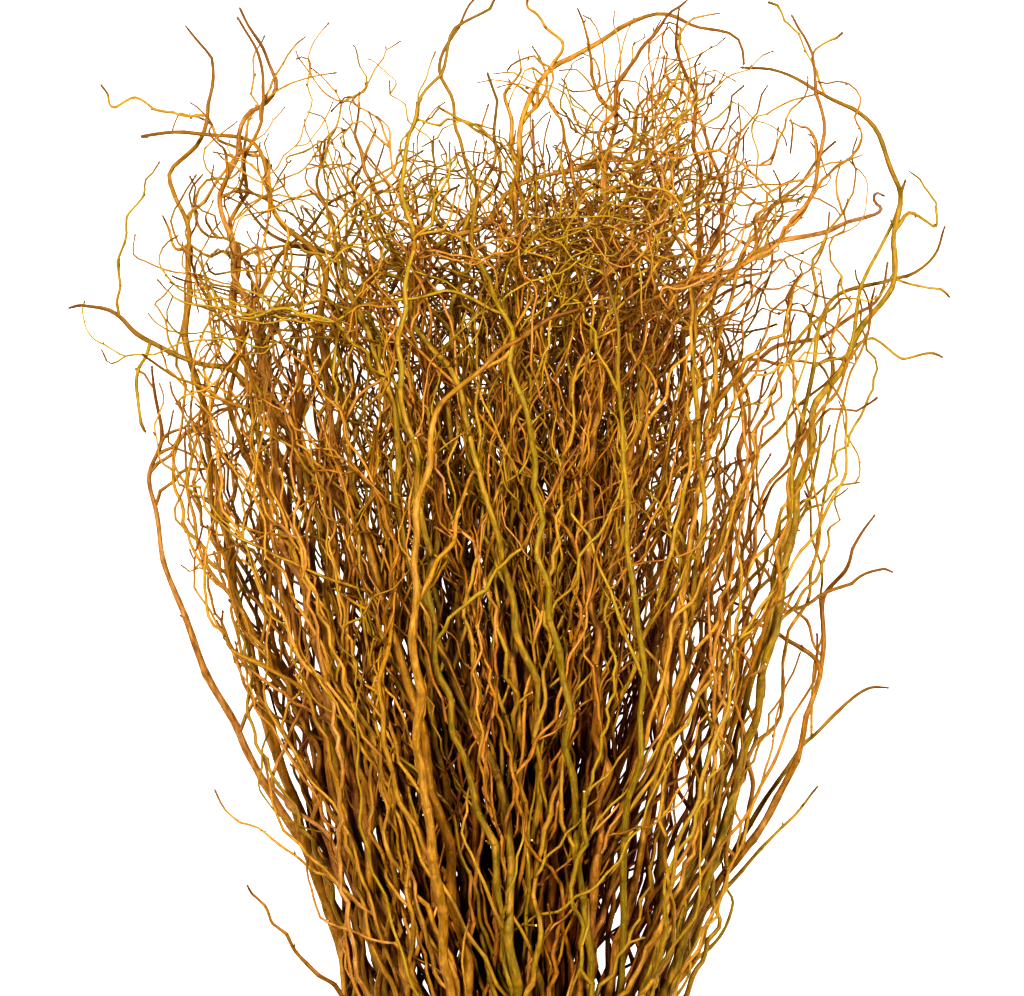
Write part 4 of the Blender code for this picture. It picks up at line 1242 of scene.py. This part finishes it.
def twine_path(fan, thickness):
    """The twine's middle line: TIE_TURNS turns round the tied stems, from end to end.

    At each angle it lies half its thickness off the straight line that touches the outermost stem there, and its
    corners are then rounded by averaging each point with its neighbours six times.
    """
    count = 200
    angles = ring_angles(count)
    outward = np.stack([np.cos(angles), np.sin(angles)], 1)
    sideways = np.stack([-outward[:, 1], outward[:, 0]], 1)
    hulls = fan.centres @ outward.T + 0.93 * fan.radii[:, None]
    reach = hulls.max(0) + 0.0002 + thickness / 2
    swing = (np.roll(reach, -1) - np.roll(reach, 1)) / (angles[2] - angles[0])
    smooth = reach[:, None] * outward + swing[:, None] * sideways
    for _ in range(6):
        smooth = (np.roll(smooth, 1, 0) + 2 * smooth + np.roll(smooth, -1, 0)) / 4
    rings = TWINE_RINGS * TIE_TURNS
    place = (np.linspace(0, TIE_TURNS - 0.001, rings) * count) % count
    index = place.astype(int)
    share = (place - index)[:, None]
    spot = smooth[index] * (1 - share) + smooth[(index + 1) % count] * share
    rise = TIE_RISE + thickness * (np.linspace(0, TIE_TURNS, rings) - TIE_TURNS / 2) * (1 - 1 / TIE_TURNS)
    return np.stack([spot[:, 0], rise, spot[:, 1] + fan.middle_height], 1)


class WILLOW_OT_stems(bpy.types.Operator):
    """Winds the twine round the stems, with a cap closing each end"""

    bl_idname = "willow.stems"
    bl_label = "Stems"

    def execute(self, context):
        sizes, colours = context.scene.willow_sizes, context.scene.willow_colours
        stems, _ = layout()
        draw = np.random.default_rng(LOOKS_SEED)
        growths = all_growths(stems, sizes, draw)
        patches = [Patch() for _ in stems]
        for growth in growths:
            add_tubes(patches, growth)
        for growth in growths:
            add_buds(patches, growth, sizes.bud_length, draw)
        cut = cut_material(colours.cut)
        barks = [
            bark_material(slot, *(linear(text) for text in texts), colours.node)
            for slot, texts in BARK_COLOURS.items()
        ]
        slots = list(BARK_COLOURS)
        for number, name in enumerate(stems):
            kind = number % len(slots)
            piece = patches[number].object(f"{name}_wood", [barks[kind], cut])
            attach(piece, "root")
            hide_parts(name)
        return {"FINISHED"}


class WILLOW_OT_tie(bpy.types.Operator):
    """Winds the twine round the stems, with its ends tucked under the turns"""

    bl_idname = "willow.tie"
    bl_label = "Tie"

    def execute(self, context):
        sizes, colours = context.scene.willow_sizes, context.scene.willow_colours
        path = twine_path(layout()[1], sizes.twine)
        growth = Growth(path[None], np.full((1, len(path)), sizes.twine / 2), [0], TWINE_SIDES)
        _, across, up = carried(growth.paths)
        s = growth.along()[0]
        angle = ring_angles(TWINE_SIDES)
        # Three strands, which go round once in a lay
        lobes = np.abs(np.cos(1.5 * (angle[None] - 2 * math.pi * s[:, None] / TWINE_LAY)))
        wide = sizes.twine / 2 * (0.80 + 0.20 * lobes)
        corners = path[:, None] + wide[..., None] * spokes_of(across[0], up[0], angle)
        faces, around, ring_of = tube_faces(len(path), TWINE_SIDES)
        patch = Patch()
        uvs = np.stack([around, s[ring_of]], 2)
        # The mark tip carries the painted shade of the grooves between the strands
        patch.add(corners.reshape(-1, 3), faces, uvs, 0.5, 0.5, 0.5, (1 - lobes).ravel(), 0.0)
        flat = np.zeros((TWINE_SIDES, 3, 2))
        for end in (0, -1):
            last = np.vstack([corners[end], path[end]])
            close = closing(TWINE_SIDES)[:, ::-1 if end == 0 else 1]
            patch.add(last, close, flat, 0.5, 0.5, 0.5, 0.5, 0.0)
        piece = patch.object("tie_twine", [twine_material(colours.twine)])
        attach(piece, "root")
        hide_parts("tie")
        return {"FINISHED"}


class WILLOW_OT_stage(bpy.types.Operator):
    """Sets the pale floor, the soft studio light and the camera over the bunch"""

    bl_idname = "willow.stage"
    bl_label = "Stage"

    def execute(self, context):
        scene = context.scene
        white = scene.willow_colours.floor
        mesh = bpy.data.meshes.new("floor")
        far = FLOOR_REACH
        mesh.from_pydata([(-far, -far, 0), (far, -far, 0), (far, far, 0), (-far, far, 0)], [], [(0, 1, 2, 3)])
        floor = bpy.data.objects.new("floor", mesh)
        scene.collection.objects.link(floor)
        material, _, shader = new_material("pale_floor")
        shader.inputs["Base Color"].default_value = [FLOOR_SHARE * v for v in white[:3]] + [1.0]
        shader.inputs["Roughness"].default_value = 0.9
        shader.inputs["Emission Color"].default_value = white
        shader.inputs["Emission Strength"].default_value = FLOOR_GLOW
        mesh.materials.append(material)
        world = bpy.data.worlds.new("studio")
        world.use_nodes = True
        background = world.node_tree.nodes["Background"].inputs
        background["Color"].default_value = (1.0, 1.0, 1.0, 1.0)
        background["Strength"].default_value = WORLD_STRENGTH
        scene.world = world
        for name, spot, size, power in LIGHTS:
            lamp = bpy.data.lights.new(name, "AREA")
            lamp.shape, lamp.size, lamp.energy = "DISK", size, power
            light = bpy.data.objects.new(name, lamp)
            light.location = spot
            aim = np.array(LIT_PLACE) - spot
            tilt = math.acos(-aim[2] / float(np.linalg.norm(aim)))
            light.rotation_euler = (tilt, 0.0, math.atan2(aim[1], aim[0]) - math.pi / 2)
            scene.collection.objects.link(light)
        lens = bpy.data.cameras.new("camera")
        lens.lens, lens.sensor_width, lens.clip_end = LENS, SENSOR, 100.0
        camera = bpy.data.objects.new("camera", lens)
        distance = SEEN_HALF_WIDTH * LENS / (SENSOR / 2)
        camera.location = (-FAN_MIDDLE[0], SEEN_RISE - FAN_MIDDLE[1], SEEN_HEIGHT + distance)
        scene.collection.objects.link(camera)
        scene.camera = camera
        scene.view_settings.view_transform = "Standard"
        scene.view_settings.look = "Very High Contrast"
        return {"FINISHED"}


class WILLOW_PT_panel(bpy.types.Panel):
    """Lists the pieces of the bunch and their settings"""

    bl_label = "Willow stems"
    bl_idname = "WILLOW_PT_panel"
    bl_space_type = "VIEW_3D"
    bl_region_type = "UI"
    bl_category = "Willow"

    def draw(self, context):
        for operator in OPERATORS:
            self.layout.operator(operator.bl_idname)
        for group in (context.scene.willow_sizes, context.scene.willow_colours):
            for key in group.bl_rna.properties.keys():
                if key not in {"rna_type", "name"}:
                    self.layout.prop(group, key)


OPERATORS = (WILLOW_OT_stems, WILLOW_OT_tie, WILLOW_OT_stage)
CLASSES = (WillowSizes, WillowColours, *OPERATORS, WILLOW_PT_panel)


def register():
    for cls in CLASSES:
        bpy.utils.register_class(cls)
    bpy.types.Scene.willow_sizes = bpy.props.PointerProperty(type=WillowSizes)
    bpy.types.Scene.willow_colours = bpy.props.PointerProperty(type=WillowColours)


def unregister():
    del bpy.types.Scene.willow_sizes
    del bpy.types.Scene.willow_colours
    for cls in reversed(CLASSES):
        bpy.utils.unregister_class(cls)


def main():
    register()
    bpy.ops.willow.stems()
    bpy.ops.willow.tie()
    bpy.ops.willow.stage()


if __name__ == "__main__":
    main()
